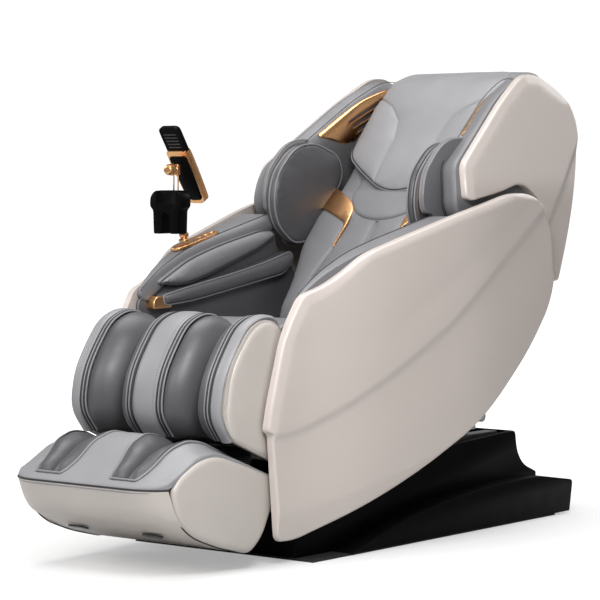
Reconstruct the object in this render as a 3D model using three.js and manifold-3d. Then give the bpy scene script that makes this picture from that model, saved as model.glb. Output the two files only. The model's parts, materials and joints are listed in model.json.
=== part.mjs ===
// A zero-gravity massage chair, at its real size in millimetres.
// The sitter faces -Y, +Z is up, and +X is the sitter's left. The floor is z = 0.
import * as THREE from 'three';
import { mergeVertices } from 'three/addons/utils/BufferGeometryUtils.js';
import Module from 'manifold-3d';

const wasm = await Module();
wasm.setup();

// ---------------------------------------------------------------- driving dimensions

const GAP = 0.4; // left between pieces that touch
// Half widths over the arm shells, as [y, half width]: the arms close in towards the front.
const ARM_BOW = [[-320, 268], [-110, 318], [90, 348], [260, 372]];
const ARM_WALL = 26; // thickness of an arm shell
const SHELL_INNER = ARM_BOW[ARM_BOW.length - 1][1] - ARM_WALL - GAP;
const ARM_INNER = 236; // half width between the arms
const SEAT_HALF = 231; // half width of the seat cushion
const WING_OUTER = 340; // half width of the backrest, which swings between the arm shells
const WING_WALL = 23;
const BACK_HALF = 190; // half width of the back cushion
const LEG_HALF = 228; // half width of the leg rest and the foot rest
const PLINTH_HALF = 280;
const COLUMN_HALF = 221.6;

const RECLINE_PIVOT = [200, 450]; // y, z of the axis between the seat and the backrest
const BACK_ANGLE = 36; // degrees that the backrest leans back from upright
const LEG_PIVOT = [-300, 515]; // y, z of the leg rest's axis
const TILT_PIVOT = [450, 285]; // y, z of the seat frame's axis on the sliding carriage
const RECLINE_LEVER = 110;
const LEG_LEVER = 90;
const LEVER_LEAD = [17.5, 32.5]; // degrees that each lever leads its mid position at rest
const ROD_CLEARANCE = 5; // from a thrust rod's end to the lever that it drives

const RAIL_TOP = 225;
const FLOOR_PAD = 6;

// ---------------------------------------------------------------- materials

const paint = (color, roughness, metalness = 0) =>
  new THREE.MeshStandardMaterial({ color, roughness, metalness });
const CREAM_SHELL = paint(0xd6cdc4, 0.35);
const BLACK_SHELL = paint(0x19191b, 0.4);
const GREY_LEATHER = paint(0x8d8d92, 0.6);
const DARK_LEATHER = paint(0x56565b, 0.6);
const ROSE_GOLD = paint(0xd8a069, 0.3, 0.9);
const STEEL = paint(0x8f9296, 0.45, 0.8);
const RUBBER = paint(0x232325, 0.9);
const CREAM_LEATHER = paint(0xcfc6bc, 0.5);

// ---------------------------------------------------------------- shape helpers

const chair = new THREE.Group();

/** Adds a geometry to the chair as one named mesh. */
function add(name, geometry, material) {
  const mesh = new THREE.Mesh(geometry, material);
  mesh.name = name;
  chair.add(mesh);
}

/** A closed outline from [a, b, radius] corners, where a radius rounds its corner. */
function outline(corners) {
  const shape = new THREE.Shape();
  const count = corners.length;
  corners.forEach(([a, b, radius = 0], i) => {
    const corner = new THREE.Vector2(a, b);
    const [beforeA, beforeB] = corners[(i + count - 1) % count];
    const [afterA, afterB] = corners[(i + 1) % count];
    const toBefore = new THREE.Vector2(beforeA, beforeB).sub(corner);
    const toAfter = new THREE.Vector2(afterA, afterB).sub(corner);
    const reach = Math.min(radius, toBefore.length() * 0.49, toAfter.length() * 0.49);
    const start = toBefore.setLength(reach).add(corner);
    const end = toAfter.setLength(reach).add(corner);
    if (i === 0) shape.moveTo(start.x, start.y);
    else shape.lineTo(start.x, start.y);
    if (reach > 0) shape.quadraticCurveTo(corner.x, corner.y, end.x, end.y);
  });
  shape.closePath();
  return shape;
}

/** Extrudes a side outline, drawn in y and z, from x0 to x1. */
function slab(corners, x0, x1, holes = []) {
  const shape = outline(corners);
  shape.holes = holes.map(outline);
  const geometry = new THREE.ExtrudeGeometry(shape, {
    depth: Math.abs(x1 - x0),
    bevelEnabled: false,
    curveSegments: 3,
  });
  // Outline a, b and depth become world y, z and x.
  geometry.applyMatrix4(new THREE.Matrix4().set(0, 0, 1, 0, 1, 0, 0, 0, 0, 1, 0, 0, 0, 0, 0, 1));
  geometry.translate(Math.min(x0, x1), 0, 0);
  return geometry;
}

/** A box between two corners. */
function block([x0, y0, z0], [x1, y1, z1]) {
  const geometry = new THREE.BoxGeometry(x1 - x0, y1 - y0, z1 - z0);
  geometry.translate((x0 + x1) / 2, (y0 + y1) / 2, (z0 + z1) / 2);
  return geometry;
}

/** A round bar along X between x0 and x1, centred on y, z. */
function barX(x0, x1, [y, z], radius, sides = 14) {
  const geometry = new THREE.CylinderGeometry(radius, radius, x1 - x0, sides);
  geometry.rotateZ(Math.PI / 2);
  geometry.translate((x0 + x1) / 2, y, z);
  return geometry;
}

/** A round bar along Y between y0 and y1, centred on x, z. */
function barY(y0, y1, [x, z], radius, sides = 12) {
  const geometry = new THREE.CylinderGeometry(radius, radius, y1 - y0, sides);
  geometry.translate(x, (y0 + y1) / 2, z);
  return geometry;
}

/** A round bar along Z between z0 and z1, centred on x, y. */
function barZ(z0, z1, [x, y], radius, sides = 14) {
  const geometry = new THREE.CylinderGeometry(radius, radius, z1 - z0, sides);
  geometry.rotateX(Math.PI / 2);
  geometry.translate(x, y, (z0 + z1) / 2);
  return geometry;
}

/** A turned piece about X: profile points are [radius, x], and the axis is at y, z. */
function turnedX(profile, [y, z], sides = 16) {
  const points = profile.map(([radius, along]) => new THREE.Vector2(radius, along));
  const geometry = new THREE.LatheGeometry(points, sides);
  geometry.rotateZ(-Math.PI / 2);
  geometry.translate(0, y, z);
  return geometry;
}

function toSolid(geometry) {
  const bare = geometry.clone();
  bare.deleteAttribute('normal');
  bare.deleteAttribute('uv');
  const merged = mergeVertices(bare, 1e-3);
  return new wasm.Manifold(
    new wasm.Mesh({
      numProp: 3,
      vertProperties: Float32Array.from(merged.attributes.position.array),
      triVerts: Uint32Array.from(merged.index.array),
    }),
  );
}

function toGeometry(solid) {
  const mesh = solid.getMesh();
  const geometry = new THREE.BufferGeometry();
  geometry.setAttribute('position', new THREE.BufferAttribute(mesh.vertProperties, 3));
  geometry.setIndex(new THREE.BufferAttribute(mesh.triVerts, 1));
  geometry.computeVertexNormals();
  return geometry;
}

/** Joins the geometries in `bodies` and cuts away the ones in `cuts`. */
function carve(bodies, cuts = []) {
  let solid = toSolid(bodies[0]);
  bodies.slice(1).forEach((body) => {
    solid = solid.add(toSolid(body));
  });
  cuts.forEach((cut) => {
    solid = solid.subtract(toSolid(cut));
  });
  return toGeometry(solid);
}

/** Runs `make` for the sitter's left (+X) and right (-X) sides. */
function bothSides(make) {
  make('left', 1);
  make('right', -1);
}

/** The x range from a to b on the side that `sign` gives, lowest first. */
function across(sign, a, b) {
  return sign > 0 ? [a, b] : [-b, -a];
}

/** Shears the slices of a slab so that it follows the arms' plan, which closes in at the front. */
function bow(geometry, sign) {
  const widest = ARM_BOW[ARM_BOW.length - 1][1];
  const stations = [[-900, ARM_BOW[0][1]], ...ARM_BOW, [900, widest]];
  const slices = stations.slice(1).map(([y1, half1], i) => {
    const [y0, half0] = stations[i];
    const slope = (half1 - half0) / (y1 - y0);
    const slice = carve([geometry], [
      block([-900, -1900, -100], [900, y0, 1900]),
      block([-900, y1, -100], [900, 1900, 1900]),
    ]);
    slice.applyMatrix4(new THREE.Matrix4().set(
      1, sign * slope, 0, sign * (half0 - slope * y0 - widest), 0, 1, 0, 0, 0, 0, 1, 0, 0, 0, 0, 1,
    ));
    return slice;
  });
  return carve(slices.filter((slice) => slice.index.count > 0));
}

/** Cuts away what would reach into the arm shell's wall. */
function insideShell(geometry, sign) {
  const reach = ARM_WALL + GAP;
  const plan = new THREE.Shape();
  plan.moveTo(sign * 600, -900);
  plan.lineTo(sign * (ARM_BOW[0][1] - reach), -900);
  ARM_BOW.forEach(([y, half]) => plan.lineTo(sign * (half - reach), y));
  plan.lineTo(sign * (ARM_BOW[ARM_BOW.length - 1][1] - reach), 900);
  plan.lineTo(sign * 600, 900);
  plan.closePath();
  const room = new THREE.ExtrudeGeometry(plan, { depth: 1200, bevelEnabled: false });
  return carve([geometry], [room]);
}

const radians = THREE.MathUtils.degToRad;
const UP_BACK = [Math.sin(radians(BACK_ANGLE)), Math.cos(radians(BACK_ANGLE))];

/** A point of the backrest from its height along the back and its distance in front of it. */
function onBack([along, ahead, radius]) {
  return [
    RECLINE_PIVOT[0] + along * UP_BACK[0] - ahead * UP_BACK[1],
    RECLINE_PIVOT[1] + along * UP_BACK[1] + ahead * UP_BACK[0],
    radius,
  ];
}

/** The end of a lever that hangs from a pivot, swung back from straight down. */
function leverEnd([y, z], length, degreesBack) {
  return [y + length * Math.sin(radians(degreesBack)), z - length * Math.cos(radians(degreesBack))];
}

// ---------------------------------------------------------------- base

const PLINTH_SIDE = [
  [-150, FLOOR_PAD], [45, 62, 200], [250, 92, 200], [465, 106, 200], [650, 112, 120],
  [805, 86, 12], [790, FLOOR_PAD],
];
const COLUMN_SIDE = [
  [-285, FLOOR_PAD], [-268, 112, 40], [-110, 176, 60], [180, 206], [560, 226, 30], [624, 226, 12],
  [632, 172, 40], [660, 136, 40], [721, 112], [721, FLOOR_PAD],
];
const COLUMN_HOLLOW = [
  [-276, 0], [-258, 118], [-106, 186], [-110, 300], [613, 300], [622, 170], [652, 130],
  [710, 104], [710, 0],
];
const WHEEL_AXIS = [766, 29];
const WHEEL_RADIUS = 23;
const SWITCH_AXIS = [788, 47];

function buildBase() {
  const wheelPockets = [250, -250].map((x) => block([x - 19, 738, 0], [x + 19, 820, 58]));
  const wheelPins = [250, -250].map((x) => barX(x - 22, x + 22, WHEEL_AXIS, 4, 12));
  const shell = carve(
    [slab(PLINTH_SIDE, -PLINTH_HALF, PLINTH_HALF)],
    [
      block([-COLUMN_HALF - GAP, -400, 0], [COLUMN_HALF + GAP, 721 + GAP, 300]),
      ...wheelPockets,
      block([-70, 750, 28], [-18, 820, 62]),
      block([18, 770, 34], [44, 820, 60]),
    ],
  );
  add('base_plinth', carve([shell, ...wheelPins]), BLACK_SHELL);

  add('base_column', carve(
    [slab(COLUMN_SIDE, -COLUMN_HALF, COLUMN_HALF)],
    [slab(COLUMN_HOLLOW, -COLUMN_HALF + 8, COLUMN_HALF - 8)],
  ), BLACK_SHELL);

  const padOuter = block([-272, -282, 0], [272, 732, FLOOR_PAD - GAP]);
  const padOpenings = [[-235, -24], [24, 690]].map(
    ([y0, y1]) => block([-195, y0, -1], [195, y1, FLOOR_PAD + 1]),
  );
  add('floor_pad', carve([padOuter], padOpenings), RUBBER);

  const frame = [];
  [1, -1].forEach((sign) => {
    const xs = across(sign, 150, 186);
    frame.push(block([xs[0], -225, 10], [xs[1], 680, 42]));
    frame.push(block([xs[0], -90, RAIL_TOP - 28], [xs[1], 590, RAIL_TOP]));
    [-85, 540].forEach((y) => frame.push(block([xs[0], y, 40], [xs[1], y + 36, RAIL_TOP - 20])));
  });
  [-215, 350, 640].forEach((y) => frame.push(block([-180, y, 10], [180, y + 34, 42])));
  add('base_frame', carve(frame), STEEL);

  add('slide_motor', carve([
    block([-42, 340, 44], [42, 470, 130]),
    barY(465, 590, [0, 88], 38),
    barY(-60, 345, [0, 100], 8, 12),
  ]), BLACK_SHELL);

  add('power_inlet', carve(
    [block([-69, 752, 29], [-19, 798, 61])],
    [block([-60, 770, 35], [-28, 820, 55])],
  ), BLACK_SHELL);
  add('power_switch', slab([
    [SWITCH_AXIS[0] - 8, SWITCH_AXIS[1] - 10], [SWITCH_AXIS[0] + 4, SWITCH_AXIS[1] - 10],
    [SWITCH_AXIS[0] + 1, SWITCH_AXIS[1]], [SWITCH_AXIS[0] + 4, SWITCH_AXIS[1] + 10],
    [SWITCH_AXIS[0] - 8, SWITCH_AXIS[1] + 10],
  ], 22, 40), RUBBER);

  bothSides((side, sign) => {
    const half = 16;
    const ring = [[4.6, -half], [WHEEL_RADIUS - 2, -half], [WHEEL_RADIUS, -half + 3],
      [WHEEL_RADIUS, half - 3], [WHEEL_RADIUS - 2, half], [4.6, half], [4.6, -half]];
    const wheel = turnedX(ring, WHEEL_AXIS);
    wheel.translate(250 * sign, 0, 0);
    add(`wheel_${side}`, wheel, RUBBER);
  });
}

// ---------------------------------------------------------------- carriage and seat frame

function buildCarriage() {
  const parts = [block([-190, 60, RAIL_TOP + 1], [190, 110, 255]),
    block([-190, 400, RAIL_TOP + 1], [190, 455, 255])];
  [1, -1].forEach((sign) => {
    const xs = across(sign, 150, 190);
    parts.push(block([xs[0], 60, RAIL_TOP + 1], [xs[1], 455, 250]));
    const ear = [[425, 240], [432, 300, 14], [468, 300, 14], [475, 240, 6]];
    parts.push(slab(ear, ...across(sign, 183, 199)));
    parts.push(barX(...across(sign, 190, 224), TILT_PIVOT, 9));
  });
  parts.push(block([-22, 70, 78], [22, 100, 240])); // the nut that the lead screw drives
  add('seat_carriage', carve(parts, [barY(0, 200, [0, 100], 9.5, 12)]), STEEL);
}

const FRAME_SIDE = [
  [-321, 500, 12], [-319, 534, 14], [-283, 534, 14], [-273, 462, 20], [-100, 436], [140, 418],
  [176, 474, 16], [224, 474, 16], [240, 392, 20], [292, 322, 20], [440, 310], [472, 308, 14],
  [474, 268, 12], [430, 262, 10], [60, 262, 20], [-200, 330, 60], [-287, 430, 40],
];

function buildSeatFrame() {
  const parts = [];
  const holes = [];
  [1, -1].forEach((sign) => {
    parts.push(slab(FRAME_SIDE, ...across(sign, 205, 225)));
    const outrigger = across(sign, 224, SHELL_INNER);
    parts.push(insideShell(barX(...outrigger, [-170, 390], 14, 12), sign));
    parts.push(barX(...outrigger, [290, 295], 14, 12));
    const wide = across(sign, 200, 230);
    holes.push(barX(...wide, RECLINE_PIVOT, 12.6));
    holes.push(barX(...wide, LEG_PIVOT, 10.6));
    holes.push(barX(...wide, TILT_PIVOT, 9.6));
  });
  [[-200, 392], [120, 300], [330, 290]].forEach((at) => parts.push(barX(-206, 206, at, 12, 12)));
  add('seat_frame', carve(parts, holes), STEEL);

  add('seat_cushion', slab([
    [-262, 480, 12], [-270, 520, 20], [-240, 546, 25], [-60, 524, 60], [108, 508, 15],
    [112, 436, 8], [-100, 458, 20],
  ], -SEAT_HALF, SEAT_HALF), GREY_LEATHER);

  add('control_box', block([-190, -175, 342], [-24, -25, 398]), BLACK_SHELL);
  add('air_pump', carve([
    block([24, -175, 342], [190, -25, 380]),
    barY(-165, -35, [107, 374], 24, 16),
  ]), BLACK_SHELL);
}

/** A hollow tube along Y, closed at `closedEnd`, that a thrust rod slides in. */
function thrustTube(y0, y1, at, openAtStart) {
  const bore = openAtStart ? barY(y0 - 10, y1 - 12, at, 9) : barY(y0 + 12, y1 + 10, at, 9);
  return carve([barY(y0, y1, at, 15)], [bore]);
}

function buildActuators() {
  const recline = leverEnd(RECLINE_PIVOT, RECLINE_LEVER, LEVER_LEAD[0]);
  const axisR = [0, recline[1] - 2];
  add('recline_actuator', thrustTube(-170, 96, axisR, false), STEEL);
  add('recline_rod', barY(20, recline[0] - 12 - ROD_CLEARANCE, axisR, 8), STEEL);

  const leg = leverEnd(LEG_PIVOT, LEG_LEVER, LEVER_LEAD[1]);
  const axisL = [0, leg[1] - 7];
  add('leg_actuator', thrustTube(-213, -50, axisL, true), STEEL);
  add('leg_rod', barY(leg[0] + 12 + ROD_CLEARANCE, -75, axisL, 8), STEEL);
}

// ---------------------------------------------------------------- arms

const ARM_SHELL_SIDE = [
  [-389, 58, 20], [-325, 55, 60], [-188, 95, 100], [21, 170, 150], [270, 291, 120],
  [461, 444, 100], [557, 555, 70], [584, 640, 80], [576, 745, 90], [500, 830, 70],
  [400, 836, 60], [193, 789, 80], [-34, 725, 80], [-123, 699, 50], [-188, 657, 50],
  [-244, 627, 30], [-310, 607, 20], [-365, 525, 60], [-416, 365, 40], [-428, 310, 8],
  [-412, 303, 8],
];
const ARM_TOP = [[-293, 610], [-230, 652], [-131, 697], [-38, 722], [68, 747], [200, 778]];

function buildArms() {
  bothSides((side, sign) => {
    const outer = SHELL_INNER + GAP + ARM_WALL;
    const shell = slab(ARM_SHELL_SIDE, ...across(sign, outer - ARM_WALL, outer));
    add(`arm_shell_${side}`, bow(shell, sign), CREAM_SHELL);
    const piece = (corners, from) => insideShell(
      slab(corners, ...across(sign, from, SHELL_INNER)), sign,
    );

    add(`arm_pad_${side}`, piece([
      [-300, 596, 6], ...ARM_TOP, [206, 742, 6], [68, 709], [-36, 679], [-122, 655], [-214, 613],
      [-278, 580, 8],
    ], ARM_INNER), GREY_LEATHER);

    add(`arm_upper_airbag_${side}`, piece([
      [-205, 612, 4], [-122, 650], [-36, 674], [68, 704], [166, 731, 8], [184, 722, 8],
      [139, 697, 30], [24, 660, 60], [-87, 627, 60], [-163, 610, 20],
    ], 208), GREY_LEATHER);

    add(`arm_lower_airbag_${side}`, piece([
      [-210, 592, 6], [-100, 606, 60], [60, 632, 40], [204, 662, 8], [206, 642, 8], [40, 608, 40],
      [-210, 573, 6],
    ], 208), DARK_LEATHER);

    add(`arm_panel_${side}`, insideShell(slab([
      [-298, 400], [-298, 558, 8], [-214, 567], [40, 602], [206, 634], [212, 480, 10],
      [130, 425], [-60, 410],
    ], ...across(sign, 233, 250)), sign), DARK_LEATHER);

    add(`arm_cap_${side}`, slab([
      [-274, 561, 8], [-272, 584, 10], [-240, 590, 6], [-215, 588, 2], [-213, 561, 3],
    ], ...across(sign, 215, 232.6)), ROSE_GOLD);
  });
}

const PLATE_SLOPE = Math.atan2(ARM_TOP[4][1] - ARM_TOP[2][1], ARM_TOP[4][0] - ARM_TOP[2][0]);
const PLATE_X = -266;
const PLATE_THICKNESS = 7;
const PLATE_START = -14; // along the arm top, from its third corner
const PLATE_LIFT = 2.4; // above the line between the arm top's corners
const BUTTON_RADIUS = 7;

/** Moves a geometry built about the origin to a distance along the sloping arm top. */
function onArmTop(geometry, along, lift) {
  geometry.rotateX(PLATE_SLOPE);
  const [y0, z0] = ARM_TOP[2];
  const [c, s] = [Math.cos(PLATE_SLOPE), Math.sin(PLATE_SLOPE)];
  geometry.translate(PLATE_X, y0 + along * c - lift * s, z0 + along * s + lift * c);
  return geometry;
}

function buildControls() {
  const plate = block([-23, 0, GAP], [23, 160, GAP + PLATE_THICKNESS]);
  const buttonAt = [96, 120, 144];
  const holes = buttonAt.map((y) => barZ(-5, 20, [0, y], BUTTON_RADIUS + 0.5));
  add('control_plate', onArmTop(carve([plate], holes), PLATE_START, PLATE_LIFT), ROSE_GOLD);
  buttonAt.forEach((y, i) => {
    const button = barZ(GAP + 2.2, GAP + PLATE_THICKNESS + 1.6, [0, y], BUTTON_RADIUS);
    add(`button_${i + 1}`, onArmTop(button, PLATE_START, PLATE_LIFT), ROSE_GOLD);
  });
}

const HOLDER = [-264, -112]; // x, y of the remote holder's swivel
const CRADLE = [-280, -144]; // x, y of the cradle's middle
const MAST = [-272, -132]; // x, y midway between the twin rods
const ROD_OFFSETS = [-7, 7];
const REMOTE_PIVOT = [-122, 893]; // y, z
const REMOTE_LEAN = 33; // degrees that the handset leans forward from upright

function buildRemote() {
  const [x, y] = HOLDER;
  const ball = new THREE.SphereGeometry(12, 12, 8);
  ball.rotateX(Math.PI / 2);
  ball.translate(x, y, 732);
  add('holder_ball', carve([ball, barZ(721.5, 725, [x, y], 13)]), ROSE_GOLD);

  // The cradle is an arch with two legs, open at its back for the handset's tail.
  const arch = [
    [-50, 0, 8], [-50, 24, 16], [-34, 40, 14], [34, 40, 14], [50, 24, 16], [50, 0, 8],
    [40, -8, 6], [38, -66, 5], [14, -66, 5], [12, -12, 10], [-12, -12, 10], [-14, -66, 5],
    [-38, -66, 5], [-40, -8, 6],
  ];
  const [cradleX, cradleY] = CRADLE;
  const cradle = new THREE.ExtrudeGeometry(outline(arch), {
    depth: 36, bevelEnabled: false, curveSegments: 3,
  });
  cradle.rotateX(Math.PI / 2);
  cradle.translate(cradleX, cradleY + 18, 803);
  const post = barZ(744.5, 800, [x + 2, y - 10], 5, 12);
  const [mastX, mastY] = MAST;
  const rodHoles = ROD_OFFSETS.map((dx) => barZ(700, 900, [mastX + dx, mastY], 2.8, 10));
  const pocket = block([cradleX - 30, cradleY - 30, 812], [cradleX + 30, cradleY - 9, 860]);
  const whole = carve([cradle, block([x - 6, y - 26, 788], [x + 8, y - 2, 800]), post],
    [...rodHoles, pocket]);
  add('holder_cradle', whole, BLACK_SHELL);

  const rods = ROD_OFFSETS.map((dx) => barZ(796, 884, [mastX + dx, mastY], 2, 8));
  const clamp = block([mastX - 12, mastY - 7, 880], [mastX + 12, mastY + 4, 906]);
  add('holder_rods', carve([...rods, clamp]), ROSE_GOLD);

  const knob = new THREE.CylinderGeometry(10, 15, 26, 16);
  knob.translate(mastX, mastY - 20.4, 893);
  add('holder_knob', knob, ROSE_GOLD);

  const side = [
    [-14, -108, 10], [-16, 30], [-14, 110, 12], [8, 110, 8], [12, 40, 10], [10, -108, 8],
  ];
  const remote = slab(side, -31, 31);
  remote.rotateX(radians(REMOTE_LEAN));
  remote.translate(mastX, REMOTE_PIVOT[0] + 25, REMOTE_PIVOT[1] + 16);
  add('remote_handset', remote, BLACK_SHELL);
}

// ---------------------------------------------------------------- backrest

const WING_SIDE = [
  [229, 905, 20], [414, 1074, 60], [505, 1136, 30], [572, 1136, 30], [690, 1088, 50], [742, 1020, 50],
  [742, 930, 80], [700, 745, 90], [650, 612, 10], [630, 612, 6], [618, 710, 50], [560, 815, 60],
  [470, 862, 40], [380, 838, 40], [254, 818, 15], [238, 826, 8],
];

function buildBackrest() {
  const frame = [
    barX(-229, 229, RECLINE_PIVOT, 12),
    slab([[715, -20], [745, -20], [745, -50], [715, -50]].map(onBack), -172, 172),
    slab([[60, -24], [90, -24], [90, -60], [60, -60]].map(onBack), -172, 172),
    slab([[560, -64], [590, -64], [590, -80], [560, -80]].map(onBack), -249, 249),
  ];
  [1, -1].forEach((sign) => {
    frame.push(slab([[-18, -16, 8], [-18, 12, 8], [14, 12], [60, -20], [745, -20], [745, -50],
      [590, -80], [20, -70]].map(onBack), 150 * sign, 172 * sign));
  });
  const end = leverEnd(RECLINE_PIVOT, RECLINE_LEVER, LEVER_LEAD[0]);
  const [py, pz] = RECLINE_PIVOT;
  frame.push(slab([
    [py - 14, pz, 4], [py + 14, pz + 6, 4], [end[0] + 12, end[1], 8], [end[0] + 4, end[1] - 12, 8],
    [end[0] - 12, end[1] - 6, 6],
  ], -8, 8));
  add('back_frame', carve(frame), STEEL);

  add('back_cushion', slab([
    [45, 14, 6], [38, 62, 16], [66, 86, 20], [250, 92, 60], [424, 80, 18], [440, 42, 12],
    [640, 32, 60], [780, 12, 40], [836, -26, 14], [822, -40, 6], [775, -12, 40], [640, 6, 60],
  ].map(onBack), -BACK_HALF, BACK_HALF), GREY_LEATHER);

  add('back_cover', slab([
    [724, 1050], [735, 1009, 30], [735, 936, 60], [692, 741, 60],
    [652, 628, 40], [560, 545, 60], [440, 470, 60], [334, 424],
    [328, 438], [434, 485, 60], [550, 560, 60], [637, 640, 40], [677, 746, 60], [719, 938, 60],
    [719, 1003, 30], [709, 1046],
  ], -WING_OUTER + WING_WALL + GAP, WING_OUTER - WING_WALL - GAP), BLACK_SHELL);

  bothSides((side, sign) => {
    const span = (from, to) => [from * sign, to * sign];
    const shellInner = WING_OUTER - WING_WALL;
    add(`wing_shell_${side}`, slab(WING_SIDE, ...span(shellInner, WING_OUTER)), CREAM_SHELL);

    add(`wing_pad_${side}`, slab([
      [218, 900, 20], [410, 1080, 50], [500, 1126, 30], [575, 1122, 20], [650, 1070, 20],
      [640, 960, 40], [540, 840, 40], [330, 745, 30], [250, 758, 20], [222, 800, 20],
    ], ...span(250, shellInner - GAP)), GREY_LEATHER);

    add(`shoulder_airbag_${side}`, slab([
      [234, 806, 30], [246, 872, 30], [322, 964, 40], [440, 966, 30], [514, 930, 10],
      [400, 800], [304, 716, 15], [262, 742, 20],
    ], ...span(196, 249)), DARK_LEATHER);

    const slots = [0, 1, 2, 3].map((i) => slab([
      [430 + i * 24, 1010 - i * 4, 3], [520 + i * 16, 1064 - i * 9, 3],
      [524 + i * 16, 1056 - i * 9, 3], [434 + i * 24, 1002 - i * 4, 3],
    ], ...span(230, 255)));
    add(`speaker_grille_${side}`, carve([slab([
      [372, 1006, 10], [500, 1082, 30], [560, 1094, 10], [600, 1068, 10], [540, 990, 10],
      [444, 980, 10],
    ], ...span(238, 249.6))], slots), ROSE_GOLD);
  });
}

/** The head pillow is a flap that hangs from the top edge of the backrest. */
function buildPillow() {
  add('head_pillow', slab([
    [446, 47, 12], [452, 78, 20], [560, 68, 60], [700, 62, 60], [800, 42, 40], [852, 14, 20],
    [862, -16, 10], [843, -24, 4], [786, 16, 40], [642, 37, 60],
  ].map(onBack), -194, 194), GREY_LEATHER);
}

const ROLLER_X = 62;
const ROLLER_AT = [180, -22]; // height along the back and distance in front of it

function buildMassager() {
  const parts = [slab([[120, -34], [240, -34], [240, -62], [120, -62]].map(onBack), -148, 148)];
  const axis = onBack(ROLLER_AT);
  parts.push(barX(-ROLLER_X - 22, ROLLER_X + 22, axis, 5, 12));
  parts.push(slab([[172, -14], [188, -14], [192, -40], [168, -40]].map(onBack), -14, 14));
  const roomForRollers = [1, -1].map((sign) => {
    const room = barX(-16, 16, axis, 31, 16);
    room.translate(ROLLER_X * sign, 0, 0);
    return carve([room], [barX(-90, 90, axis, 5, 12)]);
  });
  add('massage_carriage', carve(parts, roomForRollers), BLACK_SHELL);
  bothSides((side, sign) => {
    const ring = [[5.8, -13], [22, -13], [28, -5], [28, 5], [22, 13], [5.8, 13], [5.8, -13]];
    const roller = turnedX(ring, axis);
    roller.translate(ROLLER_X * sign, 0, 0);
    add(`massage_roller_${side}`, roller, RUBBER);
  });
}

// ---------------------------------------------------------------- leg rest and foot rest

const CALF_SIDE = [
  [-545, 344, 24], [-528, 453, 70], [-453, 540, 70], [-405, 560, 50], [-358, 549, 30],
  [-319, 497, 20], [-325, 417], [-363, 236, 12], [-383, 241], [-515, 297, 24],
];
const WALL = 16;
const PAD_HALF = 207.6;
// The ridges' and the channel floors' outlines have the same corners, in the same order.
const RIDGE = [
  [-562, 335, 16], [-522, 455, 90], [-447, 545, 60], [-395, 563, 30], [-352, 556, 15], [-338, 520],
  [-341.4, 424], [-381, 252], [-490, 298, 20],
];
const CHANNEL_FLOOR = [
  [-480, 318, 10], [-445, 420, 60], [-400, 492, 50], [-368, 516, 20], [-350, 522, 10], [-338, 508],
  [-341.4, 424], [-381, 252], [-464, 296],
];
// Each channel's walls step out from its middle: [half width from the channel's middle, share of
// the way from the channel's floor up to the ridge].
const CHANNEL_MIDDLE = 110;
const CHANNEL_STEPS = [[66, 1], [46, 0.6], [25, 0.25]];

function buildLegRest() {
  const hollow = slab([
    [-700, 100], [-700, 660], [-341, 660], [-333, 520], [-319 - WALL, 497], [-325 - WALL, 417],
    [-383, 220], [-395, 100],
  ], -PAD_HALF - GAP, PAD_HALF + GAP);
  const [y, z] = leverEnd(LEG_PIVOT, LEG_LEVER, LEVER_LEAD[1]);
  const lever = slab([
    [-332, 505], [-318, 500], [y + 12, z + 4, 6], [y + 6, z - 12, 6], [y - 12, z - 10, 4],
    [-336, 440],
  ], -8, 8);
  const cheek = [
    [-331, 470], [-331, 506], [-316, 529, 10], [-286, 529, 12], [-285, 500, 12], [-318, 470],
  ];
  const hinges = [1, -1].flatMap((sign) => [
    barX(...across(sign, 187, 224), LEG_PIVOT, 10),
    slab(cheek, ...across(sign, 186, 203)),
  ]);
  const trough = carve([slab(CALF_SIDE, -LEG_HALF, LEG_HALF)], [hollow]);
  add('calf_casing', carve([trough, lever, ...hinges]), CREAM_LEATHER);

  const pad = [slab(CHANNEL_FLOOR, -PAD_HALF, PAD_HALF)];
  CHANNEL_STEPS.forEach(([half, share]) => {
    const level = CHANNEL_FLOOR.map(([a, b, radius], i) => [
      a + (RIDGE[i][0] - a) * share, b + (RIDGE[i][1] - b) * share, radius,
    ]);
    pad.push(slab(level, half - CHANNEL_MIDDLE, CHANNEL_MIDDLE - half));
    [1, -1].forEach((sign) => {
      pad.push(slab(level, ...across(sign, CHANNEL_MIDDLE + half, PAD_HALF)));
    });
  });
  add('calf_pad', carve(pad), DARK_LEATHER);

  add('leg_bellows', slab([
    [-369, 232], [-369, 211], [-463, 252], [-463, 274],
  ], -212, 212), RUBBER);
}

const FOOT_SIDE = [
  [-355, 200, 8], [-363, 155, 30], [-411, 66, 40], [-455, 38, 20], [-620, 82, 80], [-740, 138, 50],
  [-768, 206, 12], [-700, 234, 40], [-625, 272, 40], [-555, 276, 40], [-485, 250, 30],
];
const FOOT_TUB = [
  [-373, 400], [-373, 190], [-379, 160], [-419, 86], [-455, 57], [-615, 100], [-725, 150],
  [-744, 196], [-744, 400],
];
const FOOT_PAD = [
  [-374, 190], [-380, 162], [-420, 88], [-455, 58], [-614, 101], [-724, 151], [-743, 196],
  [-743, 210, 10], [-700, 242, 30], [-655, 286, 30], [-601, 312, 30], [-555, 296, 30],
  [-481, 250], [-377, 204],
];
const FOOT_WELL = [
  [-710, 400], [-710, 212], [-687, 154, 20], [-525, 106, 20], [-497, 124, 20], [-485, 400],
];
const FOOT_ROLLER_AXIS = [-605, 132];

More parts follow.
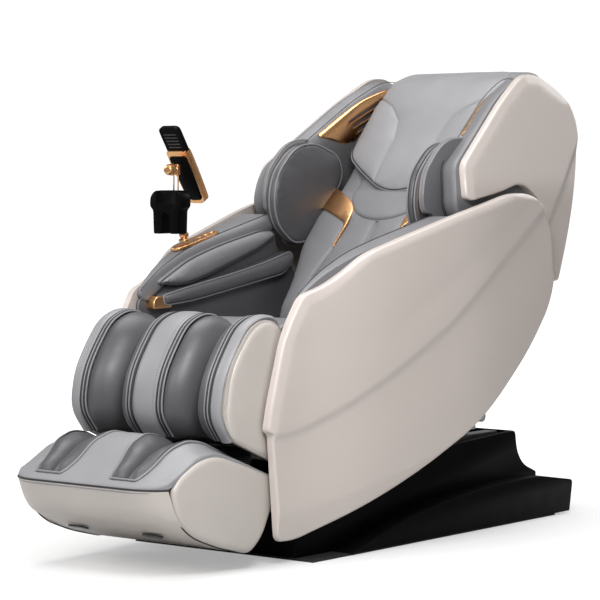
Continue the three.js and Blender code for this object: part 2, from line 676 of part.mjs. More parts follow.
function buildFootRest() {
  add('foot_casing', carve(
    [slab(FOOT_SIDE, -LEG_HALF, LEG_HALF)],
    [slab(FOOT_TUB, -PAD_HALF - GAP, PAD_HALF + GAP)],
  ), CREAM_LEATHER);

  const wells = [1, -1].map((sign) => slab(FOOT_WELL, 52 * sign, 168 * sign));
  add('foot_pad', carve(
    [slab(FOOT_PAD, -PAD_HALF, PAD_HALF)],
    [...wells, barX(-182, 182, FOOT_ROLLER_AXIS, 17)],
  ), DARK_LEATHER);

  const profile = [[0, -180], [5, -180]];
  [-125, -95, 95, 125].forEach((x) => {
    profile.push([5, x - 9], [14, x - 5], [14, x + 5], [5, x + 9]);
  });
  profile.push([5, 180], [0, 180]);
  add('foot_roller', turnedX(profile, FOOT_ROLLER_AXIS, 16), RUBBER);
}

buildBase();
buildCarriage();
buildSeatFrame();
buildActuators();
buildArms();
buildControls();
buildRemote();
buildBackrest();
buildPillow();
buildMassager();
buildLegRest();
buildFootRest();

export default chair;
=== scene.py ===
"""A zero-gravity massage chair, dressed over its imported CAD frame.

Lengths in this script are millimetres in the row frame (the sitter faces -Y, +Z is up and the
floor is z = 0); mesh() turns them into metres. Most pieces are panels: an outline filled with
triangles, raised to a height that depends on the distance from the outline.
"""

import json
import math

import bmesh
import bpy
import numpy as np
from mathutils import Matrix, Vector
from mathutils.geometry import delaunay_2d_cdt

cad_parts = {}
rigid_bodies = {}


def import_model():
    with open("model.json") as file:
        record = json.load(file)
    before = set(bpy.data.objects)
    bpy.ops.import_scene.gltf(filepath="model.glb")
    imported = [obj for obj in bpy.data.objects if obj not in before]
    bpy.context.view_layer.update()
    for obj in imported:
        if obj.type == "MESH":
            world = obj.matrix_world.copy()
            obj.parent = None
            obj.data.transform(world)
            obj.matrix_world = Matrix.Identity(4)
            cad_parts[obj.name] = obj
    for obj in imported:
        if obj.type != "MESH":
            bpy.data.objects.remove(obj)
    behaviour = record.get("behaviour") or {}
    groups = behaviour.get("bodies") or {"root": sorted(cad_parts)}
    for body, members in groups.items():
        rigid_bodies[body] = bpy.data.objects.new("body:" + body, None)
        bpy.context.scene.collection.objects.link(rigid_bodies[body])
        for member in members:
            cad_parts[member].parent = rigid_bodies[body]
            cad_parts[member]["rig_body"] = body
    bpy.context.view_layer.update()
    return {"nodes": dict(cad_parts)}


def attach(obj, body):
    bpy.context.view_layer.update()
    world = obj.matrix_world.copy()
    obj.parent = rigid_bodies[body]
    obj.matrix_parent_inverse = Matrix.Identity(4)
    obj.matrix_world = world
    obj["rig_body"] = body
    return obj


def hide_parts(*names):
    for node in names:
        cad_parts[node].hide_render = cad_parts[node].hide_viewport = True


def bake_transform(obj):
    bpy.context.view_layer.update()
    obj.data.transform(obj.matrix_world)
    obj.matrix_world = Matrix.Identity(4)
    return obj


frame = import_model()
scene = bpy.context.scene

# ---- driving dimensions

ARM_INNER = 236
ARM_WALL = 26
WING_OUTER = 340
WING_WALL = 23
PAD_HALF = 208
RECLINE_PIVOT = (200, 450)
BACK_ANGLE = math.radians(36)
UP_BACK = (math.sin(BACK_ANGLE), math.cos(BACK_ANGLE))
SIDES = (("left", 1), ("right", -1))

# ---- materials


def node(tree, kind, **inputs):
    """A shader node with its inputs set by name, where a value may be another node's output."""
    made = tree.nodes.new("ShaderNode" + kind)
    for name, value in inputs.items():
        socket = made.inputs[name.replace("_", " ")]
        if isinstance(value, bpy.types.NodeSocket):
            tree.links.new(value, socket)
        else:
            socket.default_value = value
    return made


def ramp(tree, factor, low, high, start=0.3, end=0.7):
    """A colour ramp from low to high grey or colour."""
    made = node(tree, "ValToRGB", Fac=factor)
    made.color_ramp.elements[0].position = start
    made.color_ramp.elements[1].position = end
    for stop, value in zip(made.color_ramp.elements, (low, high)):
        stop.color = (*value, 1) if isinstance(value, tuple) else (value, value, value, 1)
    return made.outputs["Color"]


def shade(colour, factor):
    """A colour made darker or lighter."""
    return tuple(min(1.0, c * factor) for c in colour)


def surface(name, colour, roughness, grain, bump, stretch=(1, 1, 1), mottle=0.06, wear=0.05,
            cells=False, **sockets):
    """A procedural material: mottled colour, uneven roughness and a fine bump of `grain` metres."""
    material = bpy.data.materials.new(name)
    material.use_nodes = True
    tree = material.node_tree
    shader = tree.nodes["Principled BSDF"]
    place = node(tree, "TexCoord").outputs["Object"]
    cloud = node(tree, "TexNoise", Vector=place, Scale=9.0, Detail=4.0).outputs["Fac"]
    tree.links.new(ramp(tree, cloud, shade(colour, 1 - mottle), shade(colour, 1 + mottle)),
                   shader.inputs["Base Color"])
    worn = node(tree, "TexNoise", Vector=place, Scale=23.0, Detail=6.0).outputs["Fac"]
    tree.links.new(ramp(tree, worn, roughness - wear, roughness + wear),
                   shader.inputs["Roughness"])
    scaled = node(tree, "Mapping", Vector=place, Scale=stretch).outputs["Vector"]
    if cells:
        height = node(tree, "TexVoronoi", Vector=scaled, Scale=1 / grain).outputs["Distance"]
    else:
        height = node(tree, "TexNoise", Vector=scaled, Scale=1 / grain, Detail=3.0).outputs["Fac"]
    relief = node(tree, "Bump", Height=height, Strength=bump, Distance=grain * 0.3)
    tree.links.new(relief.outputs["Normal"], shader.inputs["Normal"])
    for socket, value in sockets.items():
        shader.inputs[socket.replace("_", " ")].default_value = value
    return material


GREY = surface("grey_leather", (0.180, 0.179, 0.188), 0.45, 0.0014, 0.3, cells=True,
               Sheen_Weight=0.05)
LIGHT = surface("light_leather", (0.255, 0.253, 0.265), 0.45, 0.0014, 0.3, cells=True,
                Sheen_Weight=0.05)
CHARCOAL = surface("charcoal_leather", (0.076, 0.075, 0.080), 0.40, 0.0014, 0.3, cells=True,
                   Sheen_Weight=0.05)
UMBER = surface("umber_mesh", (0.075, 0.06, 0.058), 0.6, 0.0011, 0.5, cells=True)
PIPING = surface("piping", (0.22, 0.22, 0.232), 0.42, 0.0009, 0.3, cells=True)
# Near-black for seams and stitches, and also for dark cords that paint the shade in grooves and
# recesses.
THREAD_AND_SHADE = surface("thread_and_painted_shade", (0.018, 0.018, 0.020), 0.6, 0.0006, 0.5, stretch=(1, 3, 3))
CREAM = surface("cream_leather", (0.50, 0.46, 0.425), 0.38, 0.0012, 0.12, mottle=0.02, cells=True,
                Coat_Weight=0.12, Coat_Roughness=0.3)
SHELL = surface("cream_lacquer", (0.56, 0.50, 0.465), 0.32, 0.004, 0.0, mottle=0.004, wear=0.008,
                Coat_Weight=0.25, Coat_Roughness=0.18)
GOLD = surface("rose_gold", (0.84, 0.47, 0.22), 0.30, 0.0012, 0.08, stretch=(12, 1, 1),
               mottle=0.04, Metallic=1.0)
BLACK = surface("black_plastic", (0.0035, 0.0035, 0.004), 0.34, 0.0012, 0.08, mottle=0.12,
                Specular_IOR_Level=0.03)
GLOSS = surface("black_gloss", (0.005, 0.005, 0.006), 0.12, 0.003, 0.02, mottle=0.1,
                Coat_Weight=0.6, Coat_Roughness=0.05)
INNER = surface("inner_plastic", (0.018, 0.018, 0.02), 0.55, 0.0016, 0.3, mottle=0.12)
RUBBER = surface("rubber", (0.014, 0.014, 0.015), 0.75, 0.0018, 0.4, mottle=0.15)
STEEL = surface("steel", (0.42, 0.43, 0.45), 0.36, 0.0015, 0.15, stretch=(1, 8, 1), Metallic=1.0)
FLOOR = surface("pale_floor", (0.6, 0.6, 0.6), 0.7, 0.01, 0.01, mottle=0.005)


def brighten_floor():
    """Lets the floor fade to white away from the chair, for the camera only."""
    tree = FLOOR.node_tree
    shader = tree.nodes["Principled BSDF"]
    place = node(tree, "TexCoord").outputs["Object"]
    spread = node(tree, "Mapping", Vector=place, Scale=(0.3, 0.3, 0.3)).outputs["Vector"]
    near = tree.nodes.new("ShaderNodeTexGradient")
    near.gradient_type = "SPHERICAL"
    tree.links.new(spread, near.inputs["Vector"])
    glow = ramp(tree, near.outputs["Fac"], (1, 1, 1), (0.36, 0.36, 0.36), 0.0, 0.85)
    tree.links.new(glow, shader.inputs["Emission Color"])
    seen = node(tree, "LightPath").outputs["Is Camera Ray"]
    tree.links.new(seen, shader.inputs["Emission Strength"])


# ---- outlines and meshes


def mirrored(corners):
    """A half outline, given from its left end to its middle, completed on the right."""
    return corners + [(-a, b, *r) for a, b, *r in reversed(corners) if a != 0]


def resample(points, spacing=5, closed=True, count=None):
    """The same line with its points evenly spaced along it, or `count` of them on an open line."""
    points = np.asarray(points, float)
    loop = np.vstack([points, points[:1]]) if closed else points
    lengths = np.linalg.norm(np.diff(loop, axis=0), axis=1)
    along = np.concatenate([[0], np.cumsum(lengths)])
    steps = count - 1 if count else max(3, int(round(along[-1] / spacing)))
    at = np.linspace(0, along[-1], steps + 1)
    if closed:
        at = at[:-1]
    return np.stack([np.interp(at, along, loop[:, i]) for i in range(loop.shape[1])], axis=1)


def rounded(corners, spacing=5, closed=True):
    """[a, b, radius] corners as an evenly spaced line whose corners are rounded."""
    corners = [(*c, 0)[:3] for c in corners]
    line = []
    for i, (a, b, radius) in enumerate(corners):
        corner = np.array((a, b), float)
        if not closed and i in (0, len(corners) - 1):
            line.append(corner)
            continue
        before = np.array(corners[i - 1][:2], float) - corner
        after = np.array(corners[(i + 1) % len(corners)][:2], float) - corner
        reach = min(radius, 0.49 * np.linalg.norm(before), 0.49 * np.linalg.norm(after))
        start = corner + before / np.linalg.norm(before) * reach
        end = corner + after / np.linalg.norm(after) * reach
        for t in np.linspace(0, 1, 9 if reach > 0 else 1):
            line.append((1 - t) ** 2 * start + 2 * t * (1 - t) * corner + t * t * end)
    return resample(line, spacing, closed)


def distance(points, line, closed=False):
    """Each point's distance to a line."""
    line = np.asarray(line, float)[:, :2]
    ends = np.vstack([line[1:], line[:1]]) if closed else line[1:]
    starts = line if closed else line[:-1]
    best = np.full(len(points), 1e9)
    for start, end in zip(starts, ends):
        run = end - start
        t = np.clip((points - start) @ run / max(run @ run, 1e-9), 0, 1)
        best = np.minimum(best, np.linalg.norm(points - start - t[:, None] * run, axis=1))
    return best


def inside(points, ring):
    """Which points lie inside a closed ring."""
    x, y = points[:, 0], points[:, 1]
    found = np.zeros(len(points), bool)
    for (x0, y0), (x1, y1) in zip(ring, np.roll(ring, -1, axis=0)):
        if y0 != y1:
            found ^= ((y0 > y) != (y1 > y)) & (x < (x1 - x0) * (y - y0) / (y1 - y0) + x0)
    return found


def outward(ring):
    """The unit normals of a closed ring, pointing out of it."""
    along = np.roll(ring, -1, axis=0) - np.roll(ring, 1, axis=0)
    along /= np.maximum(np.linalg.norm(along, axis=1), 1e-9)[:, None]
    normal = np.stack([along[:, 1], -along[:, 0]], axis=1)
    probe = ring + normal * 0.05
    return -normal if inside(probe, ring).mean() > 0.5 else normal


def offset_line(line, amount):
    """An open line moved sideways."""
    along = np.gradient(np.asarray(line, float), axis=0)
    along /= np.maximum(np.linalg.norm(along, axis=1), 1e-9)[:, None]
    return line + np.stack([-along[:, 1], along[:, 0]], axis=1) * amount


CLOSEST = 0.9  # points that share a square this wide are taken as one


def fill(ring, holes, step, rings, lines):
    """Points and triangles that fill a ring around its holes, finer near the edge and the lines."""
    edges = [ring, *holes]
    points = list(np.vstack(edges))
    joins, first = [], 0
    for loop in edges:
        joins += [(first + i, first + (i + 1) % len(loop)) for i in range(len(loop))]
        first += len(loop)

    def edge_distance(candidates):
        return np.min([distance(candidates, loop, True) for loop in edges], axis=0)

    def keep(candidates, clearance):
        candidates = candidates[inside(candidates, ring)]
        for hole in holes:
            candidates = candidates[~inside(candidates, hole)]
        if len(candidates):
            candidates = candidates[edge_distance(candidates) > clearance]
        return candidates

    extra = []
    for depth in rings:
        extra.append(keep(ring - outward(ring) * depth, depth * 0.9))
        for hole in holes:
            extra.append(keep(hole + outward(hole) * depth, depth * 0.9))
    for line, offsets in lines:
        close = resample(line, 5, False)
        for amount in offsets:
            extra.append(keep(offset_line(close, amount), 1.0))
    low, high = ring.min(0), ring.max(0)
    rows = np.arange(low[1], high[1], step * 0.866)
    grid = np.array([(a + (row % 2) * step / 2, b) for row, b in enumerate(rows)
                     for a in np.arange(low[0], high[0], step)])
    grid = keep(grid, (rings[-1] if len(rings) else 0) + step * 0.5)
    for line, offsets in lines:
        if len(grid):
            grid = grid[distance(grid, line) > max(np.abs(offsets)) + step * 0.4]
    extra.append(grid)
    seen = {}
    for candidate in (point for group in extra for point in group):
        cell = (round(candidate[0] / CLOSEST), round(candidate[1] / CLOSEST))
        seen.setdefault(cell, candidate)
    points += list(seen.values())
    made = delaunay_2d_cdt([Vector(p) for p in points], joins, [], 0, 1e-4)
    flat = np.array([tuple(p) for p in made[0]])
    triangles = np.array([f for f in made[2] if len(f) == 3])
    centres = flat[triangles].mean(1)
    good = inside(centres, ring)
    for hole in holes:
        good &= ~inside(centres, hole)
    triangles = triangles[good]
    area = np.cross(flat[triangles[:, 1]] - flat[triangles[:, 0]],
                    flat[triangles[:, 2]] - flat[triangles[:, 0]])
    triangles[area < 0] = triangles[area < 0][:, ::-1]
    used = np.unique(triangles)
    renumber = np.full(len(flat), -1)
    renumber[used] = np.arange(len(used))
    flat = flat[used]
    return flat, renumber[triangles], edge_distance(flat)


def mesh(name, points, faces, material, body=None):
    """A new smooth piece from points in millimetres."""
    data = bpy.data.meshes.new(name)
    data.from_pydata([tuple(float(c) / 1000 for c in p) for p in points], [],
                     [tuple(int(i) for i in f) for f in faces])
    work = bmesh.new()
    work.from_mesh(data)
    bmesh.ops.remove_doubles(work, verts=work.verts, dist=2e-5)
    bmesh.ops.dissolve_degenerate(work, edges=work.edges, dist=1e-5)
    bmesh.ops.recalc_face_normals(work, faces=work.faces)
    work.to_mesh(data)
    work.free()
    data.shade_smooth()
    data.set_sharp_from_angle(angle=math.radians(48))
    data.materials.append(material)
    made = bpy.data.objects.new(name, data)
    scene.collection.objects.link(made)
    if body:
        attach(made, body)
    return made


def panel(name, corners, place, thick, material, body, painted_shadow=6, crown=0, reach=60, step=14,
          holes=(), lines=(), relief=None, belly=0, spacing=5, fine=()):
    """A closed piece over an outline.

    place(a, b, h) gives the point at height h over outline point a, b. The top is `thick` high
    with edges rounded to `painted_shadow`, and crowned by `crown` over `reach`. lines are (line, offsets)
    that get points beside them, relief(a, b, d) adds height, and belly swells the sides.
    """
    ring = rounded(corners, spacing)
    loops = [rounded(hole, spacing) for hole in holes]
    turns = painted_shadow * (1 - np.cos(np.radians([24, 45, 66, 90])))
    rings = [*turns, painted_shadow * 1.6 + 1, *fine]
    flat, triangles, depth = fill(ring, loops, step, rings, lines)
    inner = np.clip(painted_shadow - depth, 0, painted_shadow)
    top = thick - painted_shadow + np.sqrt(np.maximum(painted_shadow * painted_shadow - inner * inner, 0))
    top += crown * (1 - np.exp(-depth / reach))
    if relief is not None:
        top += relief(flat[:, 0], flat[:, 1], depth)
    points = [place(a, b, h) for (a, b), h in zip(flat, top)]
    faces = [tuple(t) for t in triangles]
    open_edges = {}
    for t in triangles:
        for i, j in ((t[0], t[1]), (t[1], t[2]), (t[2], t[0])):
            if open_edges.pop((j, i), None) is None:
                open_edges[(i, j)] = True
    rim = sorted({i for pair in open_edges for i in pair})
    normals = {}
    for i, j in open_edges:
        a, b = flat[j] - flat[i]
        for end in (i, j):
            normals[end] = normals.get(end, np.zeros(2)) + np.array((b, -a))
    levels = [0.85, 0.6, 0.35, 0.15, 0.0] if belly else [0.5, 0.0]
    level_of = {i: i for i in rim}
    for share in levels:
        swell = belly * math.sin(math.pi * share)
        lower = {}
        for i in rim:
            push = normals[i] / max(np.linalg.norm(normals[i]), 1e-9) * swell
            lower[i] = len(points)
            points.append(place(flat[i][0] + push[0], flat[i][1] + push[1], top[i] * share))
        faces += [(level_of[j], level_of[i], lower[i], lower[j]) for i, j in open_edges]
        level_of = lower
    bottom = dict(level_of)
    for i in range(len(flat)):
        if i not in bottom:
            bottom[i] = len(points)
            points.append(place(*flat[i], 0))
    faces += [(bottom[t[2]], bottom[t[1]], bottom[t[0]]) for t in triangles]
    return mesh(name, points, faces, material, body)


def ring_faces(count, sides, closed=False):
    """The faces that join `count` rings of `sides` points, with capped ends unless closed."""
    faces = []
    for i in range(count if closed else count - 1):
        j = (i + 1) % count
        for k in range(sides):
            m = (k + 1) % sides
            faces.append((i * sides + k, i * sides + m, j * sides + m, j * sides + k))
    if not closed:
        faces.append(tuple(range(sides))[::-1])
        faces.append(tuple(range((count - 1) * sides, count * sides)))
    return faces


TUBE_SIDES = 10
TURNED_SIDES = 32


def tube(name, path, radius, material, body, closed=False):
    """A round cord along a line of points."""
    path = np.asarray(path, float)
    along = (np.roll(path, -1, axis=0) - np.roll(path, 1, axis=0)) if closed \
        else np.gradient(path, axis=0)
    along /= np.maximum(np.linalg.norm(along, axis=1), 1e-9)[:, None]
    side = np.cross(along[0], (0.3, 0.2, 0.93))
    points = []
    for centre, forward in zip(path, along):
        side = side - forward * (side @ forward)
        side /= max(np.linalg.norm(side), 1e-9)
        other = np.cross(forward, side)
        for angle in 2 * math.pi * np.arange(TUBE_SIDES) / TUBE_SIDES:
            points.append(centre + radius * (math.cos(angle) * side + math.sin(angle) * other))
    return mesh(name, points, ring_faces(len(path), TUBE_SIDES, closed), material, body)


def turned(name, profile, place, material, body):
    """A turned piece from a (radius, height) profile; place(x, y, h) puts it in the row frame."""
    profile = rounded([(r, h, 0.7) for r, h in profile], 1.2, False)
    points = []
    for radius, height in profile:
        for angle in 2 * math.pi * np.arange(TURNED_SIDES) / TURNED_SIDES:
            points.append(place(radius * math.cos(angle), radius * math.sin(angle), height))
    return mesh(name, points, ring_faces(len(profile), TURNED_SIDES), material, body)


STITCH_LENGTH = 4.0
STITCH_GAP = 3.0
STITCH_RADIUS = 0.55


def stitches(name, path, material, body):
    """A row of separate stitches along a line of points."""
    path = resample(path, STITCH_LENGTH + STITCH_GAP, False)
    points, faces = [], []
    for start, after in zip(path[:-1], path[1:]):
        run = (after - start) * STITCH_LENGTH / (STITCH_LENGTH + STITCH_GAP)
        side = np.cross(run, (0.31, 0.17, 0.93))
        side *= STITCH_RADIUS / max(np.linalg.norm(side), 1e-9)
        other = np.cross(run, side)
        other *= STITCH_RADIUS / max(np.linalg.norm(other), 1e-9)
        first = len(points)
        middle = start + run / 2
        points += [start, start + run, middle + side, middle + other, middle - side, middle - other]
        for k in range(4):
            m = 2 + (k + 1) % 4
            faces += [(first, first + 2 + k, first + m), (first + 1, first + m, first + 2 + k)]
    return mesh(name, points, faces, material, body)


def sheet_normals(rows):
    """The unit normals of a sheet that is given as rows of points."""
    normal = np.cross(np.gradient(rows, axis=0), np.gradient(rows, axis=1))
    return normal / np.maximum(np.linalg.norm(normal, axis=2), 1e-9)[..., None]


def strip(name, rows, thick, material, body=None):
    """A closed sheet from rows of points, thickened away from its upper side."""
    rows = np.asarray(rows, float)
    count, width = rows.shape[:2]
    upper = rows.reshape(-1, 3)
    lower = (rows - sheet_normals(rows) * thick).reshape(-1, 3)
    total = count * width
    faces = []
    for i in range(count - 1):
        for k in range(width - 1):
            a, b = i * width + k, (i + 1) * width + k
            faces.append((a, b, b + 1, a + 1))
            faces.append((total + a, total + a + 1, total + b + 1, total + b))
    index = np.arange(total).reshape(count, width)
    border = [*index[0], *index[1:, -1], *index[-1, -2::-1], *index[-2:0:-1, 0]]
    for a, b in zip(border, border[1:] + border[:1]):
        faces.append((a, b, total + b, total + a))
    return mesh(name, np.vstack([upper, lower]), faces, material, body)


def refined(node_name, material, bevel):
    """A CAD node's own shape with softened edges, which stands for the node."""
    source = frame["nodes"][node_name]
    made = bpy.data.objects.new(node_name + "_body", source.data.copy())
    scene.collection.objects.link(made)
    work = bmesh.new()
    work.from_mesh(made.data)
    bmesh.ops.remove_doubles(work, verts=work.verts, dist=1e-5)
    bmesh.ops.dissolve_limit(work, angle_limit=math.radians(2), verts=work.verts, edges=work.edges)
    work.to_mesh(made.data)
    work.free()
    made.data.materials.clear()
    made.data.materials.append(material)
    softened = made.modifiers.new("edges", "BEVEL")
    softened.width = bevel / 1000
    softened.segments = 2
    softened.limit_method = "ANGLE"
    softened.angle_limit = math.radians(40)
    softened.use_clamp_overlap = True
    apply_modifiers(made)
    made.data.shade_smooth()
    made.data.set_sharp_from_angle(angle=math.radians(35))
    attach(made, source["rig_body"])
    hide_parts(node_name)
    return made


def apply_modifiers(made):
    """Makes an object's modifiers part of its mesh."""
    graph = bpy.context.evaluated_depsgraph_get()
    graph.update()
    data = bpy.data.meshes.new_from_object(made.evaluated_get(graph))
    made.modifiers.clear()
    made.data = data


CLOTH_PRESSURE = 4.0
CLOTH_STEPS = 20


def puff(made, held, cap):
    """Swells a closed piece by a cloth simulation, by less than `cap`.

    held(points) says which points stay put.
    """
    before = np.array([v.co for v in made.data.vertices])
    fixed = made.vertex_groups.new(name="held")
    fixed.add([int(i) for i in np.flatnonzero(held(before * 1000))], 1.0, "REPLACE")
    cloth = made.modifiers.new("puff", "CLOTH")
    cloth.settings.vertex_group_mass = "held"
    cloth.settings.use_pressure = True
    cloth.settings.uniform_pressure_force = CLOTH_PRESSURE
    cloth.settings.effector_weights.gravity = 0
    cloth.settings.quality = 4
    cloth.settings.tension_stiffness = 12
    cloth.settings.compression_stiffness = 12
    cloth.settings.bending_stiffness = 1.5
    cloth.point_cache.frame_start = 1
    cloth.point_cache.frame_end = CLOTH_STEPS
    for step in range(1, CLOTH_STEPS + 1):
        scene.frame_set(step)
    graph = bpy.context.evaluated_depsgraph_get()
    solved = made.evaluated_get(graph)
    after = np.array([v.co for v in solved.to_mesh().vertices])
    solved.to_mesh_clear()
    move = after - before
    size = np.linalg.norm(move, axis=1)
    limit = cap / 1000
    share = limit * np.tanh(size / limit) / np.maximum(size, 1e-9)
    made.modifiers.clear()
    made.vertex_groups.clear()
    for vertex, start, shift, part in zip(made.data.vertices, before, move, share):
        vertex.co = start + shift * part
    scene.frame_set(1)


def soften(t):
    """0 to 1, with a gentle start and end."""
    t = np.clip(t, 0, 1)
    return t * t * (3 - 2 * t)


def grooves(seams, width, depth):
    """A relief that sinks seams along their lines."""
    def sink(a, b, _):
        points = np.stack([a, b], axis=1)
        return sum(-depth * np.exp(-((distance(points, seam) / width) ** 2)) for seam in seams)
    return sink


def on_side(sign, start, facing=1):
    """Places a side outline (y, z) with its heights along X, from |x| = start."""
    return lambda a, b, h: (sign * (start + facing * h), a, b)


def on_back(x, s, n):
    """A point of the backrest, s along it from the pivot and n in front of it."""
    return (x, RECLINE_PIVOT[0] + s * UP_BACK[0] - n * UP_BACK[1],
            RECLINE_PIVOT[1] + s * UP_BACK[1] + n * UP_BACK[0])


def curve(points, soften_by=0):
    """A function through (a, b) points, with its corners averaged over `soften_by`."""
    a, b = zip(*points)
    shifts = np.linspace(-soften_by, soften_by, 7)
    return lambda t: sum(np.interp(t + shift, a, b) for shift in shifts) / len(shifts)


arm_half = curve([(-320, 268), (-110, 318), (90, 348), (260, 372)], 60)


def on_arm(sign, depth):
    """Places a side outline (y, z) on the bowed arm shell, from `depth` inside its outer face."""
    return lambda a, b, h: (sign * (float(arm_half(a)) - depth + h), a, b)


def back_heights(points):
    """How far points in the row frame are along the backrest and in front of it."""
    y, z = points[:, 1] - RECLINE_PIVOT[0], points[:, 2] - RECLINE_PIVOT[1]
    return y * UP_BACK[0] + z * UP_BACK[1], z * UP_BACK[0] - y * UP_BACK[1]


# ---- arm and wing shells

ARM_SHELL = [
    (-389, 58, 20), (-325, 55, 60), (-188, 95, 100), (21, 170, 150), (270, 291, 120),
    (461, 444, 100), (557, 555, 70), (584, 640, 80), (576, 745, 90), (500, 830, 70),
    (400, 838, 60), (193, 791, 80), (-34, 726, 80), (-123, 700, 50), (-188, 658, 50),
    (-244, 628, 30), (-310, 608, 20), (-365, 525, 60), (-416, 365, 40), (-428, 310, 8),
    (-412, 303, 8),
]
ARM_RIM = [(584, 640), (576, 745), (545, 800), (500, 830), (400, 838), (193, 791), (-34, 726),
           (-123, 700), (-188, 658), (-244, 628), (-310, 608), (-365, 525), (-416, 365),
           (-428, 310)]
ARM_BAND = [(-425, 310), (-361, 309), (-296, 323), (-182, 366), (-29, 438), (145, 536),
            (323, 669), (505, 788), (570, 835)]
ARM_KEEL = [(-400, 122), (-325, 125), (-182, 147), (-28, 186), (105, 224), (258, 285), (420, 372)]
ARM_FOLD = [(-60, 500), (470, 810)]
WING_SHELL = [
    (229, 905, 20), (414, 1074, 60), (505, 1136, 30), (572, 1136, 30), (690, 1088, 50),
    (742, 1020, 50), (742, 930, 80), (700, 745, 90), (650, 612, 10), (630, 612, 6),
    (618, 710, 50), (560, 815, 60), (470, 862, 40), (380, 838, 40), (254, 818, 15), (238, 826, 8),
]
WING_RIM = [WING_SHELL[-1], *WING_SHELL[:5]]
WING_BAND = [(590, 770), (640, 850), (700, 930), (760, 1010)]


def above(a, b, line):
    """How far points lie above a line that runs along a, measured square to it."""
    xs, zs = np.array(line, float).T
    slope = np.interp(a, xs, np.gradient(zs, xs))
    return (b - np.interp(a, xs, zs)) / np.sqrt(1 + slope ** 2)


def arm_relief(a, b, d):
    """The chamfered rim, the step of the band, the soft fold and the tapered keel."""
    rim = distance(np.stack([a, b], axis=1), ARM_RIM)
    width = np.interp(a, [-430, -290, -170, 600], [26, 24, 14, 14])
    raised = -7.0 * np.clip(1 - rim / width, 0, 1)
    raised -= 8.5 * soften(-above(a, b, ARM_BAND) / 26)
    raised += 4.0 * soften(-above(a, b, ARM_BAND) / 160 - 0.1)
    raised -= 0.16 * np.clip(-above(a, b, ARM_KEEL), 0, 90)
    raised -= 2.6 * np.exp(-np.abs(above(a, b, ARM_FOLD)) / 60)
    return raised + 1.5 * (1 - np.exp(-d / 120))


def wing_relief(a, b, d):
    """The chamfered front rim and the step that carries the arm's band on."""
    rim = distance(np.stack([a, b], axis=1), WING_RIM)
    raised = -7.0 * np.clip(1 - rim / 26, 0, 1)
    across, up = np.array(WING_BAND[-1], float) - np.array(WING_BAND[0], float)
    behind = ((a - WING_BAND[0][0]) * up - (b - WING_BAND[0][1]) * across) / math.hypot(across, up)
    return raised - 7.0 * soften(behind / 26)


WING_THICK = 58
WING_EDGE = 40
WING_LEAN = curve([(600, 0), (840, 0), (1136, 85), (1236, 114)], 30)
LEAN_BACK = 1.26


def on_wing(sign, start, facing=1):
    """Places a side outline (y, z) on a wing, which leans in and back towards its top."""
    def place(a, b, h):
        lean = float(WING_LEAN(b))
        return (sign * (start + facing * h - lean), a + LEAN_BACK * lean, b)
    return place


def build_shells():
    """The lacquered arm and wing shells."""
    for side, sign in SIDES:
        body = panel(f"arm_shell_{side}_body", ARM_SHELL, on_arm(sign, ARM_WALL),
                     ARM_WALL, SHELL, "seat", painted_shadow=5, step=15, fine=(14, 21, 27),
                     lines=[(ARM_BAND, (-30, -23, -16, -9, -2, 4)), (ARM_KEEL, (-8, 0, 8)),
                            (ARM_FOLD, (-12, 0, 12))],
                     relief=arm_relief)
        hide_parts(f"arm_shell_{side}")
        body = panel(f"wing_shell_{side}_body", WING_SHELL, on_wing(sign, WING_OUTER - WING_WALL),
                     WING_WALL, SHELL, "backrest", painted_shadow=5, step=14, fine=(13, 20, 26),
                     lines=[(WING_BAND, (-28, -20, -12, -4, 4))], relief=wing_relief)
        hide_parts(f"wing_shell_{side}")


# ---- arms

ARM_DEEP = 250  # |x| behind the airbags and the lining
ARM_TOP_START = (-131, 697)
ARM_TOP_SLOPE = math.atan2(50, 199)
ARM_PAD_WIDTH = 109
ARM_PAD = [
    (-303, 596, 10), (-293, 611, 8), (-230, 654, 40), (-131, 699, 50), (-38, 725, 80),
    (68, 750, 80), (200, 781, 8), (208, 742, 8), (68, 709, 60), (-36, 679, 60), (-122, 655, 50),
    (-214, 613, 40), (-280, 578, 10),
]
UPPER_LEAF = [
    (-249, 622, 12), (-196, 648, 40), (-142, 674, 60), (-32, 706, 80), (133, 740, 20),
    (174, 740, 14), (186, 727, 14), (139, 701, 40), (24, 664, 80), (-87, 631, 60), (-163, 614, 40),
]
LOWER_LEAF = [
    (-246, 592, 8), (-142, 611, 60), (24, 638, 80), (139, 660, 60), (240, 686, 14),
    (252, 668, 14), (215, 632, 20), (24, 602, 80), (-142, 576, 60), (-240, 569, 8),
]
ARM_SEAM = [(-298, 603, 4), (-293, 611.4, 8), (-230, 654.6, 40), (-131, 699.8, 50),
            (-38, 725.8, 80), (68, 750.8, 80), (198, 781.4)]
ARM_PIPING = [(-280, 577.5, 10), (-214, 611.5, 40), (-122, 653.5, 50), (-36, 677.5, 60),
              (68, 707.5, 60), (204, 741)]
ARM_LINING = [
    (-304, 395), (-304, 580, 10), (-278, 590, 10), (-214, 622), (-122, 664), (-36, 688),
    (68, 718), (206, 750, 10), (222, 690, 20), (292, 640, 20), (300, 520, 20), (130, 425),
    (-60, 405),
]
ARM_CAP = [(-277, 560, 6), (-275, 580, 7), (-263, 591, 6), (-217, 587, 4), (-213, 561, 4)]


def edge_line(corners, place, height, out, start=None, end=None):
    """A panel's outline at one height, or its part whose a lies between start and end."""
    ring = rounded(corners)
    ring = ring + outward(ring) * out
    if start is not None:
        keep = (ring[:, 0] >= start) & (ring[:, 0] <= end)
        first = int(np.flatnonzero(keep & ~np.roll(keep, 1))[0]) if not keep.all() else 0
        keep = np.roll(keep, -first)
        ring = np.roll(ring, -first, axis=0)
        ring = ring[:int(np.flatnonzero(~keep)[0])] if not keep.all() else ring
    return [place(a, b, height) for a, b in ring]


